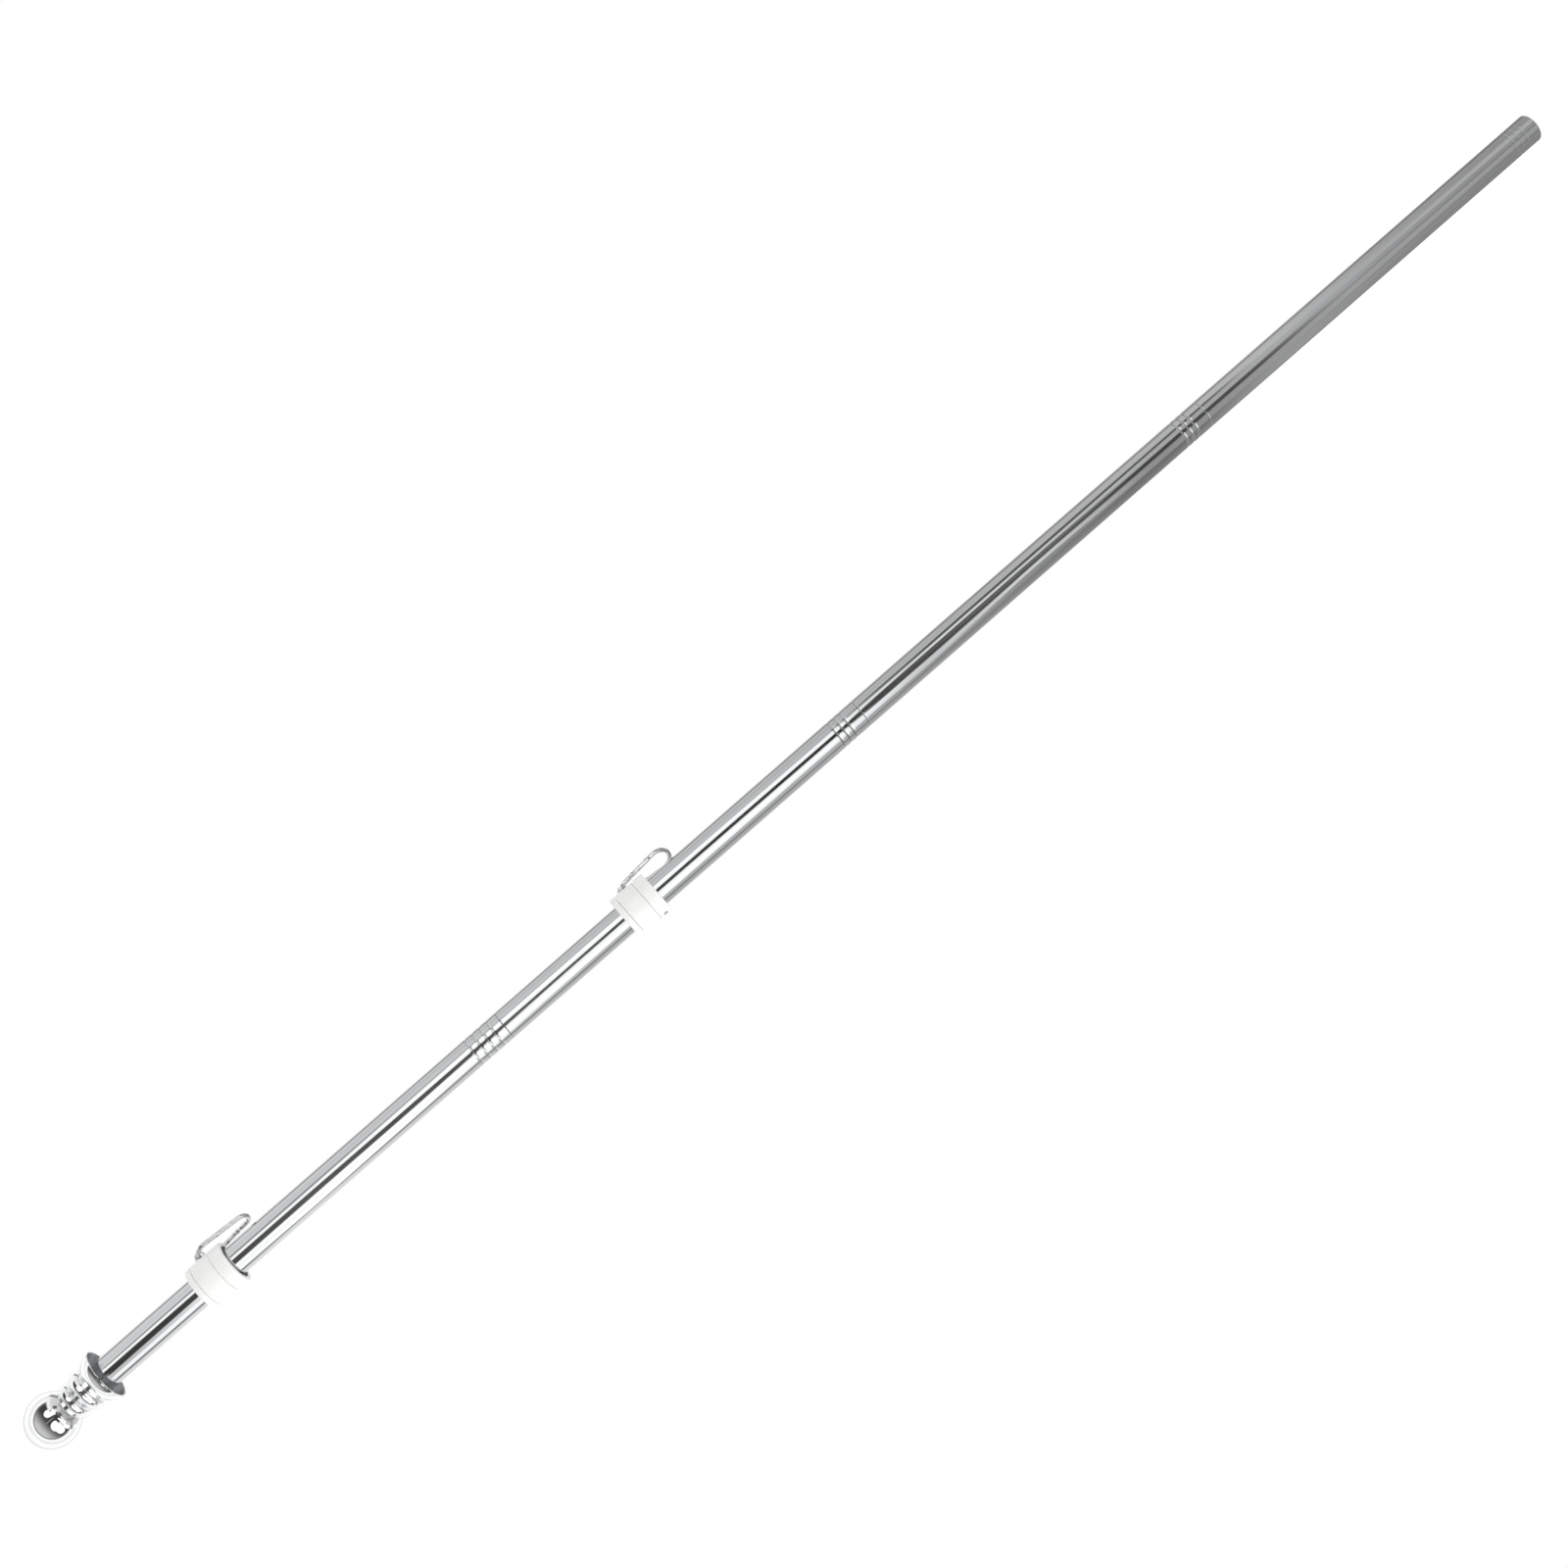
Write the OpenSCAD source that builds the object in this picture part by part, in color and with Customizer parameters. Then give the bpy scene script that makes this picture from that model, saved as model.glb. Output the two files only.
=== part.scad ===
// Sectional house flagpole with two swivel flag rings and a ball finial.
// Millimetres, +Z up the pole, the origin at the centre of the foot of the pole.

/* [Pole] */
// Outside diameter of the tube
tube_od = 25.4; // [20:0.1:32]
// Wall of the tube
tube_wall = 0.8; // [0.6:0.1:1.5]
// Length of each of the three lower sections
section_length = 381; // [300:1:500]
// Length of the top section
top_section_length = 421; // [320:1:540]
// Break on the edge of each tube end
tube_edge = 0.3; // [0.1:0.05:0.4]

/* [Rolled grooves] */
// Depth of a rolled groove
groove_depth = 0.5; // [0.2:0.05:0.7]
// Width of a groove at the skin
groove_width = 2.6; // [1.6:0.1:3.4]
// Height of the first groove on the three lower sections
groove_start = 14; // [10:0.5:20]
// Spacing of the grooves on the three lower sections
groove_pitch = 6.2; // [5:0.1:8]
// Height of the first groove on the top section
top_groove_start = 9.2; // [7:0.1:14]
// Spacing of the grooves on the top section
top_groove_pitch = 7.5; // [5:0.1:9]

/* [Screwed joints] */
// Clearance between an insert and the tube
insert_fit = 0.05; // [0.02:0.01:0.15]
// Depth of a socket below the end of its tube
socket_recess = 2; // [1:0.5:5]
// How far a socket runs on above its last groove
socket_end = 6.3; // [2:0.1:12]
// Length of a plug inside its tube
plug_length = 28; // [15:1:40]
// Radius of the screwed stud
stud_r = 6; // [4:0.1:8]
// How far the stud stands out of its tube
stud_length = 24; // [10:1:30]
// Clearance round the stud
stud_fit = 0.2; // [0.1:0.05:0.4]

/* [Finial] */
// How far the top tube reaches inside the dome
finial_overlap = 12; // [6:0.5:12.5]
// How much wider the radius of the dome is than the tube
dome_margin = 10.2; // [9.6:0.1:14]
// Height of the rim above the middle of the dome
dome_drop = 4.1; // [2:0.1:6]
// Wall of the dome
dome_wall = 1.5; // [1:0.1:1.6]
// Height of the lower bead above the rim
bead_1_z = 18.8; // [18:0.1:20]
// Thickness radius of the lower bead
bead_1_r = 6; // [5.6:0.1:6.6]
// Outside radius of the lower bead
bead_1_out = 17.6; // [15:0.1:19]
// Height of the upper bead above the rim
bead_2_z = 31; // [30:0.1:32]
// Thickness radius of the upper bead
bead_2_r = 5.4; // [5:0.1:6]
// Outside radius of the upper bead
bead_2_out = 15.6; // [14:0.1:17]
// Radius of the core that carries the beads
core_r = 11; // [10:0.1:12]
// Radius of the ball
ball_r = 22; // [20:0.1:26]
// Wall of the ball
ball_wall = 1.2; // [0.8:0.1:2]
// Thickness of the floor of the ball
ball_floor = 2.5; // [1.5:0.1:4]
// Radius of the flat foot of the ball
ball_foot_r = 12.5; // [10:0.1:14]
// Radius of the spigot that carries the ball
ball_spigot_r = 7; // [5:0.1:9]
// Length of that spigot inside the ball
ball_spigot_length = 6; // [3:0.5:10]
// Clearance round that spigot
ball_fit = 0.05; // [0.02:0.01:0.2]

/* [Swivel rings] */
// Foot of the lower ring above the foot of the third section
lower_ring_rise = 220; // [110:1:320]
// Foot of the upper ring above the foot of the top section
upper_ring_rise = 279; // [110:1:350]
// Turn of the lower ring
lower_turn = 8; // [-20:1:20]
// Turn of the upper ring
upper_turn = -3; // [-20:1:20]
// Turn of the clamp screw in the lower ring
lower_clamp = -2; // [-180:1:180]
// Turn of the clamp screw in the upper ring
upper_clamp = -116; // [-180:1:180]
// Clearance between the bushing and the tube
bushing_fit = 0.1; // [0.05:0.05:0.3]
// Wall of the bushing barrel
bushing_wall = 2.6; // [2:0.1:3.2]
// Depth of the bushing's foot inside the collar
bushing_inset = 2.5; // [0:0.1:3]
// Wall of the swivel
swivel_wall = 3.8; // [3:0.1:5]
// Length of the clamp collar
collar_length = 11; // [9:0.5:14]
// Length of the swivel
swivel_length = 17; // [14:0.5:20]
// Thickness of the flange
flange_length = 5.2; // [3:0.1:7]
// Gap at each end of the swivel
swivel_gap = 0.4; // [0.2:0.05:0.8]
// Clearance between the swivel and the bushing
swivel_fit = 0.2; // [0.1:0.05:0.4]
// Clearance between the collar and the bushing
collar_fit = 0.05; // [0.02:0.01:0.15]
// Break on the ring edges
ring_edge = 0.5; // [0.2:0.1:0.8]
// Radius of the clamp screw
screw_r = 2; // [1.5:0.1:2.5]
// Clearance round the clamp screw
screw_fit = 0.1; // [0.05:0.05:0.2]
// Depth of the screw end below the collar skin
screw_recess = 1.4; // [0.2:0.1:2]
// Width across the corners of the screw socket
screw_socket = 2.4; // [1.6:0.1:2.6]
// Depth of the screw socket
screw_socket_depth = 2; // [1:0.1:2.5]

/* [Ear of a ring] */
// Gap between the hook wire and the skin of the swivel
hook_clear = 0.6; // [0.6:0.1:1.5]
// Wall of the ear round the eye
ear_wall = 1.6; // [1.4:0.1:2.4]
// Step from the rounded ear down to its root
ear_shoulder = 0.6; // [0.2:0.1:1]
// Thickness of the ear
ear_thick = 5.2; // [4:0.1:5.4]
// Clearance of the bent wire in the eye
eye_clear = 0.75; // [0.7:0.01:1]

/* [Snap hook] */
// Radius of the hook wire
wire_r = 1.9; // [1.7:0.05:1.95]
// Twist of a hook in its ear
hook_twist = 13; // [0:1:14]
// Length over all
hook_length = 52; // [50:0.5:58]
// Middle radius of the wide bow
wide_r = 9.8; // [9.2:0.1:10.4]
// Middle radius of the narrow bow
narrow_r = 6.2; // [6:0.1:6.8]
// Distance of the gate rivet from the narrow bow
rivet_at = 9; // [8:0.1:10]
// Length of round wire between the gate and the wide bow
nose_stub = 3.4; // [2.5:0.1:5]
// Gap at the nose
nose_gap = 0.6; // [0.4:0.1:0.8]
// Gap behind the gate
heel_gap = 1.2; // [1.2:0.1:1.5]
// Reach of the gate behind its rivet
heel_reach = 1.5; // [1.2:0.1:1.6]
// Thickness of the flat tongues
tongue = 1.5; // [1.2:0.1:1.6]
// Clearance on each side of a tongue
tongue_fit = 0.2; // [0.1:0.05:0.3]
// Half the width of a tongue
tongue_half = 1.6; // [1.3:0.05:1.65]
// Length of the nose tongue beyond the catch pin
nose_tip = 0.9; // [0.5:0.1:1.2]
// Room in the gate beyond the nose tongue
slot_room = 1.3; // [1:0.1:2]
// Room in the gate beyond the heel tongue
heel_room = 2.2; // [0.5:0.1:3]
// Radius of the gate rivet
rivet_r = 0.75; // [0.6:0.05:0.9]
// Clearance round the rivet and the catch pin
rivet_fit = 0.1; // [0.05:0.05:0.15]
// Radius of the catch pin in the nose of the gate
catch_r = 0.6; // [0.4:0.05:0.7]
// Distance of the catch pin from the nose
catch_at = 1.6; // [1.4:0.1:2]
// How far a rivet end stands out of the gate
rivet_proud = 0.25; // [0.1:0.05:0.4]

/* [Hidden] */
$fn = 96;
// The bows are this much thinner than the straights, and the straights run this far in them.
wire_step = 0.02;
wire_lap = 0.1;
tube_r = tube_od / 2;
bore_r = tube_r - tube_wall;
insert_r = bore_r - insert_fit;
groove_r = (groove_width * groove_width / 4 + groove_depth * groove_depth) / (2 * groove_depth);
second_z = section_length;
third_z = 2 * section_length;
top_z = 3 * section_length;
tube_top = top_z + top_section_length;
rim_z = tube_top - finial_overlap;
dome_r = tube_r + dome_margin;
dome_z = rim_z - dome_drop;
bead_1_c = bead_1_out - bead_1_r;
bead_2_c = bead_2_out - bead_2_r;
neck_z = rim_z + bead_2_z;
ball_seat = neck_z + bead_2_r * 0.75;
ball_z = ball_seat + sqrt(ball_r * ball_r - ball_foot_r * ball_foot_r);
grooves = [for (i = [0:2]) groove_start + i * groove_pitch];
top_grooves = [for (i = [0:3]) top_groove_start + i * top_groove_pitch];
lower_ring_z = third_z + lower_ring_rise;
upper_ring_z = top_z + upper_ring_rise;
bush_in = tube_r + bushing_fit;
bush_out = bush_in + bushing_wall;
ring_r = bush_out + swivel_fit + swivel_wall;
swivel_foot = collar_length + swivel_gap;
flange_foot = swivel_foot + swivel_length + swivel_gap;
ring_top = flange_foot + flange_length;
eye_z = swivel_foot + swivel_length / 2;
bows = hook_length - 2 * wire_r - wide_r - narrow_r;
lean = asin((wide_r - narrow_r) / bows);
side = bows * cos(lean);
gate_length = side - rivet_at - nose_gap - nose_stub;
nose_tongue = nose_gap + catch_at + catch_r + rivet_fit + nose_tip;
ear_reach = ring_r + wire_r + hook_clear;
ear_half = ear_thick / 2;
narrow_lift = (narrow_r - sqrt(narrow_r * narrow_r - ear_half * ear_half)) / 2;
wide_lift = (wide_r - sqrt(wide_r * wide_r - ear_half * ear_half)) / 2;
eye_r = narrow_lift + wire_r * narrow_r / sqrt(narrow_r * narrow_r - ear_half * ear_half) + eye_clear;
ear_r = eye_r + ear_wall;
ear_root = ear_r - ear_shoulder;

steel = [0.78, 0.79, 0.80];
chrome = [0.85, 0.86, 0.87];
white = [0.93, 0.93, 0.92];
zinc = [0.66, 0.67, 0.69];
alloy = [0.72, 0.73, 0.74];

// Half a section through the round groove rollers, grown by a thickness.
module rollers(list, grow) {
  for (g = list)
    translate([tube_r + groove_r - groove_depth, g])
      circle(r = groove_r + grow);
}

// A tube whose wall follows the rolled grooves inside and out.
module tube(length, list) {
  rotate_extrude()
    difference() {
      union() {
        polygon([[bore_r, 0], [tube_r - tube_edge, 0], [tube_r, tube_edge],
          [tube_r, length - tube_edge], [tube_r - tube_edge, length], [bore_r, length]]);
        intersection() {
          rollers(list, tube_wall);
          translate([bore_r - 2 * groove_depth, 0])
            square([2 * groove_depth + tube_wall / 4, length]);
        }
      }
      rollers(list, 0);
    }
}

// A threaded insert held by the rolled grooves at the foot of a section.
module socket(list) {
  top = list[len(list) - 1] + groove_width / 2 + socket_end;
  rotate_extrude()
    difference() {
      translate([stud_r + stud_fit, socket_recess])
        square([insert_r - stud_r - stud_fit, top - socket_recess]);
      rollers(list, tube_wall + insert_fit);
    }
}

// A plug pressed in the head of a section, with the stud that screws in the next piece.
module plug(reach) {
  translate([0, 0, -plug_length])
    cylinder(r = insert_r, h = plug_length);
  translate([0, 0, -1])
    cylinder(r = stud_r, h = reach + 1);
}

// A domed cap with two beads turned on one core, and a spigot for the ball.
module finial_base_body() {
  difference() {
    union() {
      difference() {
        union() {
          intersection() {
            translate([0, 0, dome_z])
              sphere(r = dome_r);
            translate([0, 0, rim_z])
              cylinder(r = 2 * dome_r, h = bead_1_z - 2);
          }
          translate([0, 0, tube_top + 1])
            cylinder(r = core_r, h = ball_seat - tube_top + 1);
          translate([0, 0, rim_z + bead_1_z])
            rotate_extrude()
              translate([bead_1_c, 0])
                circle(r = bead_1_r);
          translate([0, 0, neck_z])
            rotate_extrude()
              translate([bead_2_c, 0])
                circle(r = bead_2_r);
        }
        translate([0, 0, ball_seat])
          cylinder(r = 2 * dome_r, h = ball_r);
      }
      translate([0, 0, ball_seat - 1])
        cylinder(r = ball_spigot_r, h = ball_spigot_length + 1);
    }
    intersection() {
      translate([0, 0, dome_z])
        sphere(r = dome_r - dome_wall);
      translate([0, 0, rim_z - 1])
        cylinder(r = 2 * dome_r, h = finial_overlap + 1);
    }
    translate([0, 0, tube_top - 1])
      cylinder(r = stud_r + stud_fit, h = stud_length + 2);
  }
}

// A hollow ball with a flat floor that sits on the upper bead.
module finial_ball_body() {
  difference() {
    translate([0, 0, ball_z])
      sphere(r = ball_r);
    intersection() {
      translate([0, 0, ball_z])
        sphere(r = ball_r - ball_wall);
      translate([0, 0, ball_seat + ball_floor])
        cylinder(r = 2 * ball_r, h = 2 * ball_r);
    }
    translate([0, 0, ball_seat - ball_r])
      cylinder(r = 2 * ball_r, h = ball_r);
    translate([0, 0, ball_seat - 1])
      cylinder(r = ball_spigot_r + ball_fit, h = ball_floor + 2);
  }
}

module bushing() {
  difference() {
    rotate_extrude()
      polygon([[bush_in, bushing_inset], [bush_out, bushing_inset], [bush_out, flange_foot],
        [ring_r - ring_edge, flange_foot], [ring_r, flange_foot + ring_edge],
        [ring_r, ring_top - ring_edge], [ring_r - ring_edge, ring_top], [bush_in, ring_top]]);
    screw_hole();
  }
}

module collar() {
  difference() {
    rotate_extrude()
      polygon([[bush_out + collar_fit, 0], [ring_r - ring_edge, 0], [ring_r, ring_edge],
        [ring_r, collar_length - ring_edge], [ring_r - ring_edge, collar_length],
        [bush_out + collar_fit, collar_length]]);
    screw_hole();
  }
}

module screw_hole() {
  translate([0, 0, collar_length / 2])
    rotate([0, -90, 0])
      translate([0, 0, tube_r / 2])
        cylinder(r = screw_r + screw_fit, h = ring_r);
}

// A grub screw through the collar and the bushing, bearing on the tube.
module screw() {
  near = tube_r + 0.05;
  far = ring_r - screw_recess;
  translate([0, 0, collar_length / 2])
    rotate([0, -90, 0])
      difference() {
        translate([0, 0, near])
          cylinder(r = screw_r, h = far - near);
        translate([0, 0, far - screw_socket_depth])
          cylinder(r = screw_socket / 2, h = screw_socket_depth + 1, $fn = 6);
      }
}

module swivel() {
  inside = bush_out + swivel_fit;
  head = swivel_foot + swivel_length;
  difference() {
    union() {
      rotate_extrude()
        polygon([[inside, swivel_foot], [ring_r - ring_edge, swivel_foot],
          [ring_r, swivel_foot + ring_edge], [ring_r, head - ring_edge],
          [ring_r - ring_edge, head], [inside, head]]);
      translate([0, ear_half, eye_z])
        rotate([90, 0, 0])
          linear_extrude(ear_thick)
            union() {
              translate([ear_reach, 0])
                circle(r = ear_r);
              translate([inside + 1, -ear_root])
                square([ear_reach - inside - 1, 2 * ear_root]);
            }
    }
    translate([ear_reach, ear_half + 1, eye_z])
      rotate([90, 0, 0])
        cylinder(r = eye_r, h = ear_thick + 2);
  }
}

// Places what lies along the gate: local X runs from the rivet to the nose.
module along_gate(at) {
  translate([narrow_r * cos(lean), narrow_r * sin(lean), 0])
    rotate([0, 0, lean - 90])
      translate([at, 0, 0])
        children();
}

// A round bar along local X.
module bar(length) {
  rotate([0, 90, 0])
    cylinder(r = wire_r, h = length);
}

// The bent wire: two bows, the back, and the two tongues on the gate side.
module hook_wire() {
  heel = rivet_at - heel_reach - heel_gap;
  nose = rivet_at + gate_length + nose_gap;
  difference() {
    union() {
      rotate([0, 0, lean])
        rotate_extrude(angle = 180 - 2 * lean)
          translate([narrow_r, 0])
            circle(r = wire_r - wire_step);
      translate([0, -bows, 0])
        rotate([0, 0, 180 - lean])
          rotate_extrude(angle = 180 + 2 * lean)
            translate([wide_r, 0])
              circle(r = wire_r - wire_step);
      mirror([1, 0, 0])
        along_gate(-wire_lap)
          bar(side + 2 * wire_lap);
      along_gate(-wire_lap)
        bar(heel + wire_lap);
      along_gate(nose)
        bar(side - nose + wire_lap);
      along_gate(heel - 0.5)
        translate([0, -tongue_half, -tongue / 2])
          cube([rivet_at - heel + 0.5, 2 * tongue_half, tongue]);
      along_gate(rivet_at)
        translate([0, 0, -tongue / 2])
          cylinder(r = tongue_half, h = tongue);
      along_gate(nose - nose_tongue)
        translate([0, -tongue_half, -tongue / 2])
          cube([nose_tongue + 0.5, 2 * tongue_half, tongue]);
    }
    along_gate(rivet_at)
      translate([0, 0, -tongue])
        cylinder(r = rivet_r + rivet_fit, h = 2 * tongue);
    along_gate(rivet_at + gate_length - catch_at)
      translate([-catch_r - rivet_fit, -2 * wire_r, -tongue])
        cube([2 * (catch_r + rivet_fit), 2 * wire_r + catch_r + rivet_fit, 2 * tongue]);
  }
}

// The sprung gate: a bar slotted at both ends, with a catch pin across its nose.
module gate_bar() {
  slot = tongue + 2 * tongue_fit;
  along_gate(rivet_at)
    union() {
      difference() {
        translate([-heel_reach, 0, 0])
          bar(heel_reach + gate_length);
        translate([-heel_reach - 1, -2 * wire_r, -slot / 2])
          cube([heel_reach + 1 + tongue_half + heel_room, 4 * wire_r, slot]);
        translate([gate_length + nose_gap - nose_tongue - slot_room, -2 * wire_r, -slot / 2])
          cube([nose_tongue + slot_room + 1, 4 * wire_r, slot]);
        translate([0, 0, -2 * wire_r])
          cylinder(r = rivet_r + rivet_fit / 2, h = 4 * wire_r);
      }
      translate([gate_length - catch_at, 0, -wire_r * 0.8])
        cylinder(r = catch_r, h = wire_r * 1.6);
    }
}

module rivet_pin() {
  half = wire_r + rivet_proud;
  along_gate(rivet_at)
    translate([0, 0, -half])
      cylinder(r = rivet_r, h = 2 * half);
}

module at_lower() {
  translate([0, 0, lower_ring_z])
    rotate([0, 0, lower_turn])
      children();
}

module at_upper() {
  translate([0, 0, upper_ring_z])
    rotate([0, 0, upper_turn])
      children();
}

// The clamped pieces of a ring stay put while the swivel turns.
module clamp_lower() {
  translate([0, 0, lower_ring_z])
    rotate([0, 0, lower_clamp])
      children();
}

module clamp_upper() {
  translate([0, 0, upper_ring_z])
    rotate([0, 0, upper_clamp])
      children();
}

// The lower hook hangs from its narrow bow, with the gate on the -Y side.
module hang_lower() {
  at_lower()
    translate([ear_reach, 0, eye_z + narrow_lift - narrow_r])
      rotate([0, 0, hook_twist - 90])
        rotate([90, 0, 0])
          children();
}

// The upper hook hangs from its wide bow, with the gate on the +Y side.
module hang_upper() {
  at_upper()
    translate([ear_reach, 0, eye_z + wide_lift - wide_r - bows])
      rotate([0, 0, hook_twist])
        rotate([180, 0, 0])
          rotate([0, 0, -90])
            rotate([90, 0, 0])
              children();
}

module base_section() { color(steel) tube(section_length, grooves); }
module second_section() { color(steel) translate([0, 0, second_z]) tube(section_length, grooves); }
module third_section() { color(steel) translate([0, 0, third_z]) tube(section_length, grooves); }
module top_section() { color(steel) translate([0, 0, top_z]) tube(top_section_length, top_grooves); }
module base_socket() { color(alloy) socket(grooves); }
module second_socket() { color(alloy) translate([0, 0, second_z]) socket(grooves); }
module third_socket() { color(alloy) translate([0, 0, third_z]) socket(grooves); }
module top_socket() { color(alloy) translate([0, 0, top_z]) socket(top_grooves); }
module base_plug() { color(alloy) translate([0, 0, second_z]) plug(stud_length); }
module second_plug() { color(alloy) translate([0, 0, third_z]) plug(stud_length); }
module third_plug() { color(alloy) translate([0, 0, top_z]) plug(stud_length); }
module finial_plug() { color(alloy) translate([0, 0, tube_top]) plug(stud_length); }
module finial_base() { color(chrome) finial_base_body(); }
module finial_ball() { color(chrome) finial_ball_body(); }
module lower_bushing() { color(white) clamp_lower() bushing(); }
module lower_collar() { color(white) clamp_lower() collar(); }
module lower_screw() { color(zinc) clamp_lower() screw(); }
module lower_swivel() { color(white) at_lower() swivel(); }
module lower_hook() { color(zinc) hang_lower() hook_wire(); }
module lower_gate() { color(zinc) hang_lower() gate_bar(); }
module lower_rivet() { color(zinc) hang_lower() rivet_pin(); }
module upper_bushing() { color(white) clamp_upper() bushing(); }
module upper_collar() { color(white) clamp_upper() collar(); }
module upper_screw() { color(zinc) clamp_upper() screw(); }
module upper_swivel() { color(white) at_upper() swivel(); }
module upper_hook() { color(zinc) hang_upper() hook_wire(); }
module upper_gate() { color(zinc) hang_upper() gate_bar(); }
module upper_rivet() { color(zinc) hang_upper() rivet_pin(); }

base_section();
second_section();
third_section();
top_section();
base_socket();
second_socket();
third_socket();
top_socket();
base_plug();
second_plug();
third_plug();
finial_plug();
finial_base();
finial_ball();
lower_bushing();
lower_collar();
lower_screw();
lower_swivel();
lower_hook();
lower_gate();
lower_rivet();
upper_bushing();
upper_collar();
upper_screw();
upper_swivel();
upper_hook();
upper_gate();
upper_rivet();
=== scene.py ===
import math

import bmesh
import bpy
from mathutils import Matrix, Vector


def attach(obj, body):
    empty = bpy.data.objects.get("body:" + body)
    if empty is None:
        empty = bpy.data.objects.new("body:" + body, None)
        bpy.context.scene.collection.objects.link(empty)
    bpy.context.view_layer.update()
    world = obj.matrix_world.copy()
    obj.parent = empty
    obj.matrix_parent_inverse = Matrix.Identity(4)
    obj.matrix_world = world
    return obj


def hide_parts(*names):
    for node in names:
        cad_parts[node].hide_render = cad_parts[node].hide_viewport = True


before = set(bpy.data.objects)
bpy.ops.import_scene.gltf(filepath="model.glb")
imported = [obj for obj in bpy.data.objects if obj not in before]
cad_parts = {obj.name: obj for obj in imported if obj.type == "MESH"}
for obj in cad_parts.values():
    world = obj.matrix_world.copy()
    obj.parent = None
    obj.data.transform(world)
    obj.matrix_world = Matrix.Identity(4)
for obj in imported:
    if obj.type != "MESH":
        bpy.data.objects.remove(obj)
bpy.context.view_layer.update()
scene = bpy.context.scene
scene.view_settings.view_transform = "Standard"
mm = 0.001
print("frame loaded:", len(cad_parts), "nodes")


def newObject(name, data):
    obj = bpy.data.objects.new(name, data)
    scene.collection.objects.link(obj)
    return obj


# camera, from the fit of the seams, rings and finial
shot = {
    "lens": 50.8, "sensor": 36.0, "height": 1.020, "distance": 1.788, "azimuth": -26.0,
    "aimHeight": 0.8469, "roll": 41.186, "sideways": -0.00215, "clip": (0.05, 30)}


def aroundPole(angle=0.0):
    # level direction, in degrees from the camera
    a = math.radians(shot["azimuth"] + angle)
    return Vector((math.sin(a), -math.cos(a), 0.0))


def addCamera():
    spot = aroundPole() * shot["distance"] + Vector((0, 0, shot["height"]))
    back = (spot - Vector((0, 0, shot["aimHeight"]))).normalized()
    up = Vector((0, 0, 1))
    along = (up - back * up.dot(back)).normalized()      # the pole as the picture sees it
    across = along.cross(back)
    c = math.cos(math.radians(shot["roll"]))
    s = math.sin(math.radians(shot["roll"]))
    right = -along * c - across * s
    top = -along * s + across * c
    spot = spot + across * shot["sideways"]
    data = bpy.data.cameras.new("shotCamera")
    data.lens = shot["lens"]
    data.sensor_width = shot["sensor"]
    data.clip_start, data.clip_end = shot["clip"]
    cam = newObject("shotCamera", data)
    turn = Matrix((right, top, back)).transposed().to_4x4()
    cam.matrix_world = Matrix.Translation(spot) @ turn
    scene.camera = cam


addCamera()
print("camera placed")


# small helpers for node trees
def feed(tree, spot, value):
    # links another node's output, or sets a value
    if isinstance(value, bpy.types.NodeSocket):
        tree.links.new(value, spot)
    else:
        spot.default_value = value


def put(tree, kind, values=None, **props):
    node = tree.nodes.new(kind)
    for key, value in props.items():
        setattr(node, key, value)
    for key, value in (values or {}).items():
        feed(tree, node.inputs[key], value)
    return node


def give(tree, kind, values=None, **props):
    return put(tree, kind, values, **props).outputs[0]


def maths(tree, operation, *terms, clamp=False):
    return give(tree, "ShaderNodeMath", dict(enumerate(terms)), operation=operation, use_clamp=clamp)


def vectors(tree, operation, *terms):
    node = put(tree, "ShaderNodeVectorMath", dict(enumerate(terms)), operation=operation)
    return node.outputs["Value" if operation in ("LENGTH", "DOT_PRODUCT") else "Vector"]


def remap(tree, value, fromLow, fromHigh, low, high, smooth=False):
    values = {"Value": value, "From Min": fromLow, "From Max": fromHigh, "To Min": low, "To Max": high}
    return give(tree, "ShaderNodeMapRange", values, interpolation_type="SMOOTHSTEP" if smooth else "LINEAR")


def weigh(tree, a, b, share):
    return maths(tree, "ADD", maths(tree, "MULTIPLY", a, share), maths(tree, "MULTIPLY", b, 1 - share))


def mixColour(tree, factor, a, b):
    node = put(tree, "ShaderNodeMix", data_type="RGBA")
    spots = [s for s in node.inputs if s.enabled]
    for spot, value in zip(spots, (factor, a, b)):
        feed(tree, spot, (*value, 1.0) if isinstance(value, tuple) else value)
    return [s for s in node.outputs if s.enabled][0]


def loopFaces(rows, columns, closed=False):
    # faces between rows of points, each row a loop; closed joins the last row to the first
    faces = []
    for j in range(rows if closed else rows - 1):
        low, high = j * columns, (j + 1) % rows * columns
        for i in range(columns):
            k = (i + 1) % columns
            faces.append((low + i, low + k, high + k, high + i))
    return faces


# studio: a painted wall for reflections, a pale floor, one soft lamp, white round about
studio = {
    "floorRadius": 0.85, "floorDrop": 0.0006, "floorSides": 128, "floorFade": (0.45, 0.98),
    "floorPaint": (0.88, 0.88, 0.88), "floorSeen": (0.20, 0.20, 0.20), "floorGlow": 0.85,
    "fillLight": 0.88, "lampPower": 15.0, "lampSize": (1.3, 2.08), "lampTurn": -62.0, "lampDistance": 2.1,
    "lampHeight": 1.1, "lampAim": 0.95, "roomDim": 0.45, "roomWhite": 1.06, "roomEdge": (0.02, 0.14),
    "roomFrom": 1.605, "roomTilt": -18.1}
wall = {
    "radius": 1.2, "low": -2.0, "high": 3.6, "columns": 480, "rows": 280, "sideBlend": 40.0,
    "roomFoot": 2.0, "roomRise": 1.0}

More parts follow.
